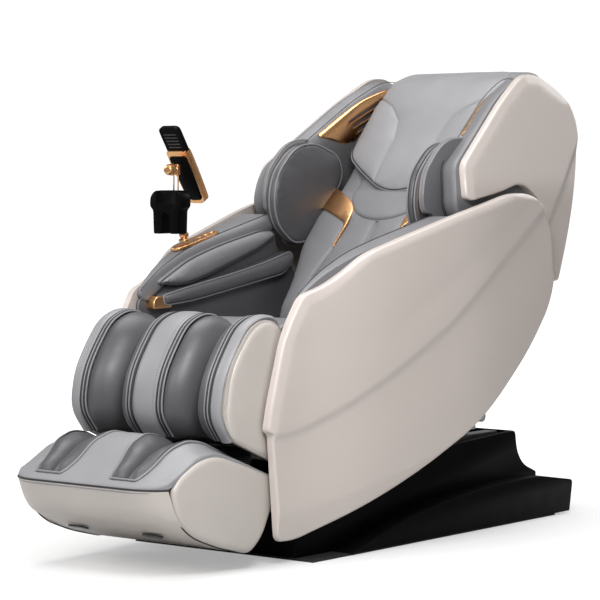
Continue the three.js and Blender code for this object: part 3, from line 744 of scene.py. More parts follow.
def build_arm_pad(side, sign):
    """The pad on top of the arm, which fills the room between the shell and the sitter's side."""
    def on_pad(a, b, h):
        outer = float(arm_half(a)) - ARM_WALL - 0.6
        return (sign * (outer - (outer - ARM_INNER) * h / ARM_PAD_WIDTH), a, b)

    pad = panel(f"arm_pad_{side}_cover", ARM_PAD, on_pad, ARM_PAD_WIDTH, GREY, "seat", painted_shadow=13,
                crown=3, reach=10, step=13, belly=1.5)
    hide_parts(f"arm_pad_{side}")
    seam = [on_pad(a, b, 90) for a, b in rounded(ARM_SEAM, 5, False)]
    tube(f"arm_pad_{side}_seam", seam, 1.1, THREAD_AND_SHADE, "seat")
    beside = [(x - sign * 3.6, y, z - 1.0) for x, y, z in seam]
    stitches(f"arm_pad_{side}_stitches", beside, THREAD_AND_SHADE, "seat")
    lower = [on_pad(a, b, 106) for a, b in rounded(ARM_PIPING, 5, False)]
    tube(f"arm_pad_{side}_piping", lower, 1.6, THREAD_AND_SHADE, "seat")


def build_arm_airbags(side, sign):
    """The two leaves that hold the forearm, of which only the upper one swells."""
    deep = on_side(sign, ARM_DEEP, -1)
    leaf = panel(f"arm_upper_airbag_{side}_cover", UPPER_LEAF, deep, 38, GREY, "seat",
                 painted_shadow=17, crown=6, reach=16, step=11, belly=2)
    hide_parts(f"arm_upper_airbag_{side}")
    puff(leaf, lambda p: sign * p[:, 0] > 232, 5)
    tube(f"arm_upper_airbag_{side}_piping", edge_line(UPPER_LEAF, deep, 27, 0.6), 1.9, CHARCOAL,
         "seat", closed=True)
    leaf = panel(f"arm_lower_airbag_{side}_cover", LOWER_LEAF, deep, 46, CHARCOAL, "seat",
                 painted_shadow=13, crown=4, reach=12, step=10, belly=2)
    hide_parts(f"arm_lower_airbag_{side}")
    tube(f"arm_lower_airbag_{side}_piping", edge_line(LOWER_LEAF, deep, 38, 0.6), 1.9, PIPING,
         "seat", closed=True)


def build_arm_lining(side, sign):
    """The lining below the airbags and the gold cap at its front."""
    deep = on_side(sign, ARM_DEEP, -1)
    lining = panel(f"arm_panel_{side}_cover", ARM_LINING, deep, 11, CHARCOAL, "seat", painted_shadow=5,
                   crown=2.5, step=20)
    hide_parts(f"arm_panel_{side}")
    front = edge_line(ARM_LINING, deep, 9, 0.6, start=-310, end=-270)
    tube(f"arm_panel_{side}_piping", front, 1.8, GREY, "seat")
    cap = panel(f"arm_cap_{side}_body", ARM_CAP,
                lambda a, b, h: (sign * (240 - h), a - 0.12 * h * (a < -240), b), 27, GOLD,
                "seat", painted_shadow=3, crown=0.5, reach=8, step=7, spacing=3)
    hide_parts(f"arm_cap_{side}")


def on_arm_top(x, along, up):
    """A point above the sloping top of the right arm pad."""
    y, z = ARM_TOP_START
    c, s = math.cos(ARM_TOP_SLOPE), math.sin(ARM_TOP_SLOPE)
    return (x, y + along * c - up * s, z + along * s + up * c)


PLATE_X = -266
PLATE_START = -14
PLATE_LIFT = 2.8
BUTTONS_AT = (96, 120, 144)
HOLDER = (-264, -112)


PLATE = mirrored([(-11, -2, 12), (-23, 24, 20), (-23, 112, 60), (-14, 162, 16)])
KEY_PROFILE = [(6.6, 4.8), (6.8, 8.2), (5.6, 9.2), (2.2, 8.7), (0.4, 8.6)]


def build_controls():
    """The gold plate on the right arm, with a dip for a finger and its three keys."""
    def place(a, b, h):
        return on_arm_top(PLATE_X + a, PLATE_START + b, PLATE_LIFT + h)

    def relief(a, b, _):
        points = np.stack([a, b], axis=1)
        sunk = -2.6 * soften(1 - distance(points, [(0, 34), (0, 56)]) / 15)
        for at in BUTTONS_AT:
            sunk = sunk - 1.2 * np.exp(-((np.hypot(a, b - at) - 9) / 1.6) ** 2)
        return sunk

    body = panel("control_plate_body", PLATE, place, 7, GOLD, "seat", painted_shadow=3, crown=1.5, reach=14,
                 step=4, relief=relief, spacing=3)
    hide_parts("control_plate")
    for i, at in enumerate(BUTTONS_AT):
        key = turned(f"button_{i + 1}_body", KEY_PROFILE, lambda a, b, h: place(a, at + b, h), GOLD,
                     f"button_{i + 1}")
        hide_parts(f"button_{i + 1}")


BALL_PROFILE = [(13, 0), (13, 5), (8.5, 7.5), (8, 9), (11, 12), (12, 16), (11, 21), (7, 25.5),
                (5.2, 27), (5.2, 31), (0.4, 31)]
KNOB_PROFILE = [(12, 0), (12, 4), (9.6, 5), (9.6, 7), (14.6, 8), (14.6, 14), (13.8, 15.5),
                (13.2, 24), (10.8, 28.5), (6, 30), (0.4, 30)]
BALL_FOOT = 717.5
CLAMP = (-272, -122, 893)
HANDSET_LEAN = math.radians(33)
CASE = mirrored([(-24, -106, 12), (-29, -40, 60), (-31, 40, 40), (-31, 108, 14)])
CASE_FRAME = mirrored([(-25, -107, 12), (-30, -40, 60), (-32, 18, 40), (-31, 44, 8)])
CASE_WINDOW = mirrored([(-19, -98, 10), (-24, -40, 60), (-26, 20, 20)])
CASE_BACK = mirrored([(-23, -96, 10), (-26, -40, 60), (-28, 30, 10)])
DISPLAY = mirrored([(-26, 50, 6), (-27, 104, 12)])


def build_holder():
    """The ball, the cradle, the twin rods and the clamp's knob."""
    x, y = HOLDER
    ball = turned("holder_ball_body", BALL_PROFILE, lambda a, b, h: (x + a, y + b, BALL_FOOT + h),
                  GOLD, "holder")
    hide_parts("holder_ball")
    refined("holder_cradle", BLACK, bevel=2.5)
    refined("holder_rods", GOLD, bevel=0.8)
    x, y, z = CLAMP
    knob = turned("holder_knob_body", KNOB_PROFILE, lambda a, b, h: (x + a, y - 14 - h, z + b),
                  GOLD, "holder_mast")
    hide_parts("holder_knob")


def on_remote(a, b, h):
    """The handset's own frame: b runs up it and h stands off its face, towards the sitter."""
    x, y, z = CLAMP
    c, s = math.cos(HANDSET_LEAN), math.sin(HANDSET_LEAN)
    back = -10 + h
    return (x + a, y + 25 + back * c - b * s, z + 16 + back * s + b * c)


def build_remote():
    """The handset: its case with a gold frame, a display and ribs in the place of its keys."""
    body = panel("remote_body", CASE, on_remote, 14, BLACK, "remote", painted_shadow=5, crown=2, step=8)
    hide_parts("remote_handset")
    panel("remote_frame", CASE_FRAME, lambda a, b, h: on_remote(a, b, -6 + h), 22, GOLD, "remote",
          painted_shadow=3, step=8, holes=[CASE_WINDOW], spacing=4)
    panel("remote_back", CASE_BACK, lambda a, b, h: on_remote(a, b, -2 - h), 7, BLACK, "remote",
          painted_shadow=3, crown=3, reach=10, step=8)
    panel("remote_display", DISPLAY, lambda a, b, h: on_remote(a, b, 13.6 + h), 2.2, GLOSS,
          "remote", painted_shadow=1, step=10)
    for i in range(9):
        rib = [on_remote(a, -84 + i * 11, 15.4 - abs(a) * 0.06) for a in (-17, -8, 0, 8, 17)]
        tube(f"remote_rib_{i + 1}", rib, 2.2, RUBBER, "remote")
    for i in range(5):
        rib = [on_remote(a, 52 + i * 9, 0.4) for a in (-20, -10, 0, 10, 20)]
        tube(f"remote_back_rib_{i + 1}", rib, 1.5, GLOSS, "remote")


# ---- backrest

WING_PAD = [
    (216, 902, 20), (410, 1078, 60), (500, 1126, 30), (578, 1126, 30), (680, 1080, 40),
    (716, 1000, 40), (690, 900, 60), (560, 830, 40), (330, 745, 30), (250, 758, 20), (220, 800, 20),
]
SHOULDER = [
    (166, 806, 40), (178, 880, 60), (252, 950, 60), (330, 962, 50), (430, 930, 40),
    (450, 880, 30), (380, 780, 40), (300, 712, 20), (244, 708, 24), (184, 752, 44),
]
SHOULDER_BASE = [
    (172, 822, 20), (182, 884, 60), (254, 958, 60), (332, 974, 50), (440, 946, 40),
    (470, 890, 30), (390, 780, 40), (300, 702, 20), (250, 704, 24), (216, 786, 12), (182, 790, 12),
]
GRILLE = [(316, 980, 12), (420, 1070, 40), (512, 1108, 30), (584, 1106, 20), (636, 1068, 16),
          (560, 984, 14), (430, 960, 14)]
GRILLE_INSET = 8
SLOT_RADIUS = 3.2
SLOT_ROWS = (-7, -4.6, -2.4, 0, 2.4, 4.6, 7)
SEAM_HALF = 2.2
CUSHION_UNDER = curve([(40, 14), (500, 10), (650, 13), (730, 4), (775, -14), (822, -42)])
CUSHION_TOP = curve([(30, 70), (66, 84), (250, 89), (340, 82), (424, 60), (440, 50), (640, 40),
                     (780, 18), (836, -20)], 8)
CUSHION_EDGE = [(-192, 30, 10), (-190, 142, 40), (-196, 197, 30), (-206, 250, 40), (-204, 380, 60),
                (-188, 470, 40), (-184, 640, 60), (-172, 826, 20)]
PILLOW_UNDER = curve([(430, 48), (446, 48), (642, 38), (786, 17), (843, -22), (862, -34)])
PILLOW_TOP = curve([(430, 74), (452, 78), (560, 74), (700, 66), (800, 46), (852, 14), (862, -12)])
PILLOW = [(-166, 860, 54), (-184, 790, 60), (-192, 610, 80), (-190, 540, 30), (-150, 505, 60),
          (-100, 470, 70), (-52, 438, 60), (0, 428, 50)]
SEAM_ROWS = (-8, -4, -1.5, 0, 1.5, 4, 8)  # where a panel has points beside a seam
HOOD = [(-194, 796, 20), (-194, 610, 10), (-240, 610, 20), (-236, 846, 40), (-196, 888, 40),
        (0, 896, 60)]
HOOD_UNDER = curve([(600, -30), (700, -38), (800, -52), (897, -66)])
HOOD_TOP = curve([(600, -2), (700, -8), (800, -20), (897, -30)])
PILLOW_SEAM = [(-190, 742), (-128, 706), (-84, 655), (-68, 590), (-72, 520), (-74, 448)]
CENTRE_PAD = [(-120, 500, 10), (-136, 450, 40), (-124, 400, 50), (-84, 352, 50), (-40, 330, 50),
              (0, 326, 40)]
HOOK = [(-206, 452, 6), (-160, 424, 30), (-112, 392, 44), (-88, 356, 30), (-84, 316, 20),
        (-92, 240, 2), (-96, 240, 2), (-92, 300, 14), (-98, 318, 8), (-150, 346, 30),
        (-206, 372, 6)]


def sloped(under, top, thick):
    """Places a backrest outline (x, s) between two curves along the back."""
    def place(a, b, h):
        low, high = under(b), top(b)
        return on_back(a, b, low + (high - low) * h / thick)
    return place


def build_wings():
    """The padded wings, with a shoulder airbag and a speaker each."""
    for side, sign in SIDES:
        place = on_wing(sign, WING_OUTER - WING_WALL - 0.6, -1)
        pad = panel(f"wing_pad_{side}_cover", WING_PAD, place, WING_THICK, GREY, "backrest",
                    painted_shadow=WING_EDGE, crown=2, reach=20, step=15, belly=2, fine=(52, 60))
        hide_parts(f"wing_pad_{side}")
        front = edge_line(WING_PAD, place, 44, 0.2, start=214, end=575)
        tube(f"wing_pad_{side}_seam", front, 0.9, THREAD_AND_SHADE, "backrest")
        build_shoulder_airbag(side, sign)
        build_speaker(side, place)


def build_shoulder_airbag(side, sign):
    """Three layers, each with its own piping: a wide base, a mesh middle and a swollen face."""
    layers = [("base", SHOULDER_BASE, 251, 15, GREY), ("middle", SHOULDER, 236, 15, UMBER),
              ("face", SHOULDER, 221, 20, CHARCOAL)]
    for name, corners, start, thick, material in layers:
        at = on_side(sign, start, -1)
        ring = rounded(corners, 6)
        ring = ring - outward(ring) * (3 if name == "middle" else 0)
        layer = panel(f"shoulder_airbag_{side}_{name}", [tuple(p) for p in ring], at, thick,
                      material, "backrest", painted_shadow=9 if name == "face" else 5,
                      crown=9 if name == "face" else 0, reach=34, step=12, belly=2.5)
        if name == "face":
            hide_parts(f"shoulder_airbag_{side}")
            puff(layer, lambda p: sign * p[:, 0] > 211, 6)
        loop = [at(a, b, thick - 4.5) for a, b in ring + outward(ring) * 0.8]
        tube(f"shoulder_airbag_{side}_{name}_piping", loop, 2.5, PIPING, "backrest", closed=True)


def build_speaker(side, on_pad):
    """The gold grille, let into the wing pad's rounded face, with four dark slots."""
    def on_pad_face(a, b, h):
        depth = float(distance(np.array([[a, b]]), WING_PAD, True)[0])
        short = max(WING_EDGE - depth, 0)
        face = WING_THICK - WING_EDGE + math.sqrt(WING_EDGE ** 2 - short ** 2)
        return on_pad(a, b, face - GRILLE_INSET + h)

    slots = [rounded([(412 + i * 28, 1018 - i * 9), (524 + i * 20, 1082 - i * 13)], 5, False)
             for i in range(4)]

    def relief(a, b, _):
        points = np.stack([a, b], axis=1)
        sunk = -3.5 * soften((a - 390) / 60) * soften((1098 - b) / 30)
        for slot in slots:
            sunk = sunk - 7.5 * (1 - soften((distance(points, slot) - SLOT_RADIUS) / 2.2))
        return sunk

    grille = panel(f"speaker_grille_{side}_body", GRILLE, on_pad_face, 16, GOLD, "backrest",
                   painted_shadow=4, crown=1, reach=12, step=9,
                   lines=[(slot, SLOT_ROWS) for slot in slots],
                   relief=relief, spacing=4)
    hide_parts(f"speaker_grille_{side}")
    for i, slot in enumerate(slots):
        tube(f"speaker_slot_{side}_{i + 1}", [on_pad_face(a, b, 7) for a, b in slot],
             SLOT_RADIUS, INNER, "backrest")


def near_seam(x, along, seams):
    """Which points lie on a seam, where along is their distance up the back or along the seat."""
    flat = np.stack([x, along], axis=1)
    return np.min([distance(flat, seam) for seam in seams], axis=0) < SEAM_HALF


def build_back_cushion():
    """The cushion that runs the whole length of the back."""
    seams = [[(0, 318), (0, 60)]]
    for sign in (1, -1):
        seams.append([(sign * 138, 40), (sign * 128, 160), (sign * 96, 250), (sign * 84, 330)])
        seams.append([(sign * 136, 470), (sign * 176, 540), (sign * 178, 700)])
    cushion = panel("back_cushion_cover", mirrored(CUSHION_EDGE),
                    sloped(CUSHION_UNDER, CUSHION_TOP, 60), 60, GREY, "backrest", painted_shadow=14, crown=4,
                    reach=30, step=13, belly=3, lines=[(seam, SEAM_ROWS) for seam in seams],
                    relief=grooves(seams, 4, 5))
    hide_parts("back_cushion")

    def held(p):
        s, n = back_heights(p)
        return (n < CUSHION_TOP(s) - 14) | near_seam(p[:, 0], s, seams) | (s < 70) | (s > 430)

    puff(cushion, held, 6)
    for side, sign in SIDES:
        painted_shadow = rounded([(sign * a, b, *r) for a, b, *r in CUSHION_EDGE[:-1]], 5, False)
        tube(f"back_cushion_{side}_piping",
             [on_back(a + sign * 1.5, b, CUSHION_TOP(b) - 10) for a, b in painted_shadow], 2.2, PIPING,
             "backrest")


def build_centre_pad():
    """The pad below the head pillow and the gold bands that run past it."""
    def on_centre(a, b, h):
        return on_back(a, b, CUSHION_TOP(b) - 4 + h)

    pad = panel("centre_pad", mirrored(CENTRE_PAD), on_centre, 14, GREY, "backrest", painted_shadow=9,
                crown=5, reach=40, step=12, belly=2)
    lower = [on_centre(a, b, 7) for a, b in rounded(mirrored(CENTRE_PAD), 5, False)]
    tube("centre_pad_piping", lower, 2.0, PIPING, "backrest")
    for side, sign in SIDES:
        hook = [(-sign * a, b, *r) for a, b, *r in HOOK]
        panel(f"gold_band_{side}", hook if sign < 0 else hook[::-1],
              lambda a, b, h: on_back(a, b, CUSHION_TOP(b) + 3.5 + h), 4.5, GOLD, "backrest",
              painted_shadow=2, crown=1, reach=6, step=7, spacing=3)


def build_head_pillow():
    """The head pillow, and the hood behind it."""
    hood = panel("backrest_hood", mirrored(HOOD), sloped(HOOD_UNDER, HOOD_TOP, 30), 30, GREY,
                 "backrest", painted_shadow=12, crown=3, reach=20, step=16, belly=2)

    outline = mirrored(PILLOW)
    seams = [PILLOW_SEAM, [(-a, b) for a, b in PILLOW_SEAM]]
    pillow = panel("head_pillow_cover", outline, sloped(PILLOW_UNDER, PILLOW_TOP, 30), 30, LIGHT,
                   "head_pillow", painted_shadow=9, crown=5, reach=40, step=13, belly=2,
                   lines=[(seam, SEAM_ROWS) for seam in seams],
                   relief=grooves(seams, 3, 3.5))
    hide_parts("head_pillow")

    def held(p):
        s, n = back_heights(p)
        return (n < PILLOW_TOP(s) - 12) | near_seam(p[:, 0], s, seams) | (s > 835)

    puff(pillow, held, 8)
    lower = rounded(outline[2:-2], 5, False)
    tube("head_pillow_piping", [on_back(a * 1.004, b, PILLOW_TOP(b) - 6) for a, b in lower], 3.0,
         PIPING, "head_pillow")
    # A thin near-black cord just inside the piping paints the shade in the groove beside it.
    tube("head_pillow_groove_shadow",
         [on_back(a * 0.992, b + 3, PILLOW_TOP(b) - 1.5) for a, b in lower], 1.3, THREAD_AND_SHADE,
         "head_pillow")
    for i, seam in enumerate(seams):
        row = offset_line(rounded([(a, b, 30) for a, b in seam], 5, False), 4.5)
        stitches(f"head_pillow_stitches_{i + 1}",
                 [on_back(a, b, PILLOW_TOP(b) + 2.6) for a, b in row], PIPING, "head_pillow")


# ---- seat

SEAT_EDGE = [(-231, -258, 20), (-231, 104, 10), (231, 104, 10), (231, -258, 20)]
SEAT_TOP = curve([(-270, 530), (-240, 540), (-60, 528), (108, 512)], 14)
SEAT_UNDER = 450
SEAT_THICK = 80
KNEE_LINE = [(-236, 500, 10), (-246, 531, 12), (-292, 540, 30), (-338, 538, 20), (-352, 520, 10)]
HIP_LINE = [(78, 506, 4), (100, 512, 8), (132, 508, 20), (156, 512, 20), (180, 536, 8)]


def build_seat():
    """The seat cushion, with two seams along it and one across."""
    seams = [[(-140, -250), (-140, 100)], [(140, -250), (140, 100)], [(-140, -120), (140, -120)]]

    def place(a, b, h):
        return (a, b, SEAT_UNDER + (float(SEAT_TOP(b)) - SEAT_UNDER) * h / SEAT_THICK)

    cushion = panel("seat_cushion_cover", SEAT_EDGE, place, SEAT_THICK, GREY, "seat", painted_shadow=20,
                    crown=5, reach=60, step=16, lines=[(seam, (-8, -4, 0, 4, 8)) for seam in seams],
                    relief=grooves(seams, 4, 5), belly=3)
    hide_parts("seat_cushion")

    def held(p):
        return (p[:, 2] < SEAT_TOP(p[:, 1]) - 20) | near_seam(p[:, 0], p[:, 1], seams)

    puff(cushion, held, 8)


def across(line, start, end, count):
    """A side line (y, z) drawn out along X, as rows of `count` points."""
    return np.array([[(x, y, z) for x in np.linspace(start, end, count)] for y, z in line])


def build_bridges():
    """The soft covers that span the knee gap and the gap between the seat and the backrest."""
    cover = strip("knee_cover", across(rounded(KNEE_LINE, 5, False), -224, 224, 33), 5, LIGHT)
    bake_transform(cover)
    cover = strip("hip_cover", across(rounded(HIP_LINE, 4, False), 188, -188, 31), 4, GREY)
    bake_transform(cover)


# ---- leg rest

RIDGE = [(-512, 292, 10), (-554, 345, 60), (-541, 428, 90), (-503, 490, 80), (-458, 545, 60),
         (-400, 565, 40), (-352, 556, 15), (-339, 520)]
FLOOR_LINE = [(-452, 290, 10), (-482, 340, 40), (-448, 425, 60), (-400, 492, 50), (-368, 516, 20),
              (-350, 522, 10), (-339, 508)]
CALF_SIDE = [
    (-538, 346, 24), (-519, 454, 70), (-448, 536, 70), (-403, 556, 50), (-357, 547, 30),
    (-318, 497, 20), (-324, 417), (-362, 235, 12), (-383, 240), (-516, 296, 24),
]
CREST_MIDDLE = 38
CREST_OUTER = 195
CHANNEL = 110
WALL_ROWS = 46
FACE_COLUMNS = 15
CREST_RISE = 6
CALF_HALF = 226
CALF_SIDE_X = 212
# The near-black cords in this table paint the shade in the grooves between the pipings.
CALF_CORDS = [  # how far beyond the ridge's edge, how far proud of it, radius, material
    (1.0, 1.5, 3.4, THREAD_AND_SHADE), (6.0, 3.0, 2.2, PIPING), (10.6, 1.2, 3.4, THREAD_AND_SHADE),
    (15.6, 2.0, 2.2, PIPING),
]


def airbag_face(top, bottom, bulge, towards):
    """A padded face between two matching rows of points, swollen towards +X (1) or -X (-1)."""
    share = np.linspace(0, 1, FACE_COLUMNS)
    rows = np.array([[upper + (lower - upper) * u for u in share]
                     for upper, lower in zip(np.array(top, float), np.array(bottom, float))])
    normal = sheet_normals(rows)
    u = share[None, :, None]
    v = np.linspace(0, 1, len(top))[:, None, None]
    swell = np.sin(np.pi * u ** 0.8) ** 0.75 * np.clip(np.sin(np.pi * v), 0, 1) ** 0.4
    if normal[len(top) // 2, FACE_COLUMNS // 2, 0] * towards < 0:
        return (rows - normal * bulge * swell)[:, ::-1]
    return rows + normal * bulge * swell


def build_calf_crests(ridge):
    """The three light ridges that run down the leg rest."""
    crests = [("middle", -CREST_MIDDLE, CREST_MIDDLE), ("left", CREST_OUTER, CALF_HALF),
              ("right", -CALF_HALF, -CREST_OUTER)]
    for name, start, end in crests:
        rows = across(ridge, start, end, 13)
        normal = sheet_normals(rows)
        if normal[0, 0, 1] > 0:
            normal = -normal
        from_middle = (rows[..., :1] - (start + end) / 2) / ((end - start) / 2)
        rows += normal * CREST_RISE * (1 - np.abs(from_middle) ** 3)
        piece = strip(f"calf_crest_{name}", rows[:, ::-1], 12, LIGHT, "leg_rest")


def build_calf_airbags(ridge, floor_line):
    """The four dark walls of the two channels, with pipings along their upper edges and near-black
    cords that paint the shade in the grooves between them.
    """
    walls = [(-CREST_OUTER, -CHANNEL), (-CREST_MIDDLE, -CHANNEL), (CREST_MIDDLE, CHANNEL),
             (CREST_OUTER, CHANNEL)]
    for i, (x_top, x_bottom) in enumerate(walls):
        out = 1 if x_bottom > x_top else -1
        top = [(x_top + out * 16, y + 3, z - 3) for y, z in ridge]
        bottom = [(x_bottom, y, z) for y, z in floor_line]
        face = strip(f"calf_airbag_{i + 1}", airbag_face(top, bottom, 18, out), 10, CHARCOAL,
                     "leg_rest")
        for k, (shift, lift, radius, material) in enumerate(CALF_CORDS):
            line = [(x_top + out * shift, y - lift * 0.8, z + lift * 0.5) for y, z in ridge]
            tube(f"calf_piping_{i + 1}_{k + 1}", line, radius, material, "leg_rest")
        stitch_line = [(x_top - out * 9, y - 4.4, z + 3.0) for y, z in ridge]
        stitches(f"calf_stitches_{i + 1}", stitch_line, THREAD_AND_SHADE, "leg_rest")


def build_leg_rest():
    """The calf rest: ridges, airbags, the base under them and the two side panels."""
    ridge, floor_line = [resample(rounded(line, 3, False), closed=False, count=WALL_ROWS)
                         for line in (RIDGE, FLOOR_LINE)]
    build_calf_crests(ridge)
    build_calf_airbags(ridge, floor_line)
    base = panel("calf_base", [*FLOOR_LINE[:-1], (-339, 508), (-348, 424), (-384, 262)],
                 lambda a, b, h: (h - PAD_HALF, a + 6, b - 4), 2 * PAD_HALF, CHARCOAL, "leg_rest",
                 painted_shadow=4, step=22)
    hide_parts("calf_pad")
    for side, sign in SIDES:
        place = on_side(sign, CALF_SIDE_X)
        cover = panel(f"calf_side_{side}", CALF_SIDE, place, 20, CREAM, "leg_rest", painted_shadow=11,
                      crown=2.5, reach=40, step=14, belly=1)
        tube(f"calf_side_{side}_piping", edge_line(CALF_SIDE, place, 6, 0.6), 2.2, THREAD_AND_SHADE,
             "leg_rest", closed=True)


# ---- foot rest

FOOT_SIDE = [
    (-355, 198, 8), (-363, 155, 30), (-411, 66, 40), (-455, 38, 20), (-560, 64, 30),
    (-650, 98, 70), (-700, 148, 60), (-714, 202, 14), (-690, 230, 30), (-625, 262, 50),
    (-563, 268, 40), (-488, 244, 30),
]
FOOT_UNDER = [(-765, 203, 10), (-739, 137, 50), (-620, 81, 80), (-455, 37, 20), (-411, 66, 30),
              (-363, 155, 30), (-357, 198)]
COVER_MIDDLE = curve([(-768, 208), (-735, 226), (-702, 247), (-657, 288), (-602, 306),
                      (-555, 297), (-481, 262), (-377, 216)], 14)
COVER_SIDE = curve([(-768, 204), (-702, 229), (-625, 269), (-565, 275), (-488, 250),
                    (-377, 206)], 14)
WELL_X = 112
WELL_HALF = curve([(-742, 37), (-730, 42), (-700, 49), (-660, 56), (-600, 62), (-525, 66),
                   (-390, 64)])
WELL_DEPTH = curve([(-742, 8), (-715, 28), (-687, 52), (-625, 96), (-525, 140), (-465, 140),
                    (-389, 110)])
WELL_YS = np.concatenate([np.linspace(-742, -710, 9), np.linspace(-702, -389, 40)])
FOOT_HALF = 224
FOOT_SIDE_X = 209
VENT = [(-33, -1, 2), (-24, 9, 12), (24, 9, 12), (33, -1, 2), (22, -9, 12), (-22, -9, 12)]
FOOT_CORNER = (136, 92, 62)  # |x| where the front starts to turn back, and how far it turns


def front_turn(x):
    """How far back the foot rest's front lies at x, behind its foremost line."""
    start, width, back = FOOT_CORNER
    u = np.clip((np.abs(x) - start) / width, 0, 1)
    return back * (1 - np.sqrt(1 - u * u))


def cover_height(x, y):
    """The height of the foot rest's top, which sinks towards its sides."""
    share = soften((np.abs(x) - 150) / 72)
    return COVER_MIDDLE(y) * (1 - share) + COVER_SIDE(y) * share


def on_cover(line, lift):
    """A line (x, y) laid on the foot rest's top, `lift` above it."""
    return [(a, b, float(cover_height(a, b)) + lift) for a, b in line]


def well_outline(sign):
    """The opening of one foot well."""
    left = [(sign * WELL_X - WELL_HALF(y), y) for y in WELL_YS]
    right = [(sign * WELL_X + WELL_HALF(y), y) for y in WELL_YS[::-1]]
    return left + right


def build_foot_cover():
    """The light top of the foot rest, with the two wells cut out of it."""
    half = FOOT_HALF + 1
    front = [(x, -764 + float(front_turn(x))) for x in np.linspace(-half, half, 41)]
    cover = panel("foot_cover", [*front, (half, -375, 6), (-half, -375, 6)],
                  lambda a, b, h: (a, b, float(cover_height(a, b)) - 14 + h), 14, LIGHT,
                  "foot_rest", painted_shadow=5, crown=2, reach=20, step=13,
                  holes=[well_outline(1), well_outline(-1)], spacing=6)
    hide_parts("foot_pad")


def build_foot_well(side, sign):
    """The two dark walls of a well, and the piping, the painted shadow just inside the rim and the
    stitches round its opening.
    """
    middle = sign * WELL_X
    for wall, out in (("inner", -sign), ("outer", sign)):
        top = [(middle + out * WELL_HALF(y) * 1.02, y,
                cover_height(middle + out * WELL_HALF(y), y) + 1.0) for y in WELL_YS]
        bottom = [(middle, y, cover_height(middle, y) - WELL_DEPTH(y)) for y in WELL_YS]
        face = strip(f"foot_airbag_{side}_{wall}", airbag_face(top, bottom, 30, -out), 8, CHARCOAL,
                     "foot_rest")
    rim = resample(well_outline(sign), 6)
    away = outward(rim)
    tube(f"foot_well_{side}_piping", on_cover(rim, 1.0), 3.0, PIPING, "foot_rest", closed=True)
    # A near-black cord just inside the rim, a little below the top, paints the shadow that falls
    # into the well.
    tube(f"foot_well_{side}_edge", on_cover(rim - away * 4.5, -0.5), 2.8, THREAD_AND_SHADE, "foot_rest",
         closed=True)
    sewn = [point for point in rim + away * 5.5 if point[1] < -395]
    stitches(f"foot_well_{side}_stitches", on_cover(sewn, 0.6), THREAD_AND_SHADE, "foot_rest")


def build_foot_side(side, sign):
    """The cream panel on one side of the foot rest."""
    place = on_side(sign, FOOT_SIDE_X)
    cover = panel(f"foot_side_{side}", FOOT_SIDE, place, 22, CREAM, "foot_rest", painted_shadow=12, crown=2,
                  reach=40, step=15)
    tube(f"foot_side_{side}_piping", edge_line(FOOT_SIDE, place, 10, 0.8), 1.7, THREAD_AND_SHADE,
         "foot_rest", closed=True)


def build_foot_front():
    """The cream sheet that wraps the foot rest's front, underside and rear, and its two vents."""
    xs = np.linspace(-FOOT_HALF, FOOT_HALF, 61)
    rows = []
    for y, z in rounded(FOOT_UNDER, 6, False):
        turn = front_turn(xs) * np.interp(y, [-740, -690, -560], [1, 0.7, 0])
        rows.append([(x, y + t, z) for x, t in zip(xs, turn)])
    front = strip("foot_front", rows, 10, CREAM, "foot_rest")
    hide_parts("foot_casing")
    lip = [(x, -765 + float(front_turn(x)), 206) for x in xs]
    tube("foot_front_piping", lip, 1.9, THREAD_AND_SHADE, "foot_rest")
    for side, sign in SIDES:
        panel(f"foot_vent_{side}", VENT,
              lambda a, b, h: (sign * WELL_X + a, -648 - b * 0.9 - h * 0.42,
                               91 + b * 0.42 - h * 0.9),
              4, GLOSS, "foot_rest", painted_shadow=1.2, step=8, spacing=3)
    refined("foot_roller", RUBBER, bevel=1.5)


def build_bellows():
    """The pleated skirt between the leg rest and the foot rest."""
    start, end = np.array([-417, 272]), np.array([-433, 214])
    rows = []
    for i, t in enumerate(np.linspace(0, 1, 25)):
        fold = 5 * (1 if i % 2 else -1)
        y, z = start + (end - start) * t
        rows.append([(x, y - 30 * math.cos(x / 216 * math.pi / 2) ** 0.3 + fold, z)
                     for x in np.linspace(-213, 213, 41)])
    skirt = strip("leg_bellows_pleats", rows, 3, RUBBER)
    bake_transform(skirt)
    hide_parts("leg_bellows")


# ---- base and inner parts


def build_base():
    """The CAD nodes whose shape is right, with softened edges."""
    refined("base_plinth", BLACK, bevel=4)
    refined("base_column", BLACK, bevel=4)
    cover = refined("back_cover", INNER, bevel=3)
    for vertex in cover.data.vertices:
        vertex.co.x *= 1 - 1.15 * float(WING_LEAN(vertex.co.z * 1000)) / WING_OUTER
    for name, material in (("power_inlet", BLACK), ("power_switch", GLOSS), ("wheel_left", RUBBER),
                           ("wheel_right", RUBBER), ("control_box", INNER), ("air_pump", INNER)):
        refined(name, material, bevel=1)


def paint_carried_nodes():
    """Gives each CAD node that is still shown a procedural material."""
    steel = ("base_frame", "seat_carriage", "seat_frame", "back_frame", "recline_actuator",
             "leg_actuator", "recline_rod", "leg_rod")
    for name, made in frame["nodes"].items():
        if made.hide_render:
            continue
        if name in steel:
            material = STEEL
        elif name in ("floor_pad", "massage_roller_left", "massage_roller_right"):
            material = RUBBER
        elif name == "calf_casing":
            material = CREAM
        else:
            material = INNER
        made.data.materials.clear()
        made.data.materials.append(material)


# ---- stage


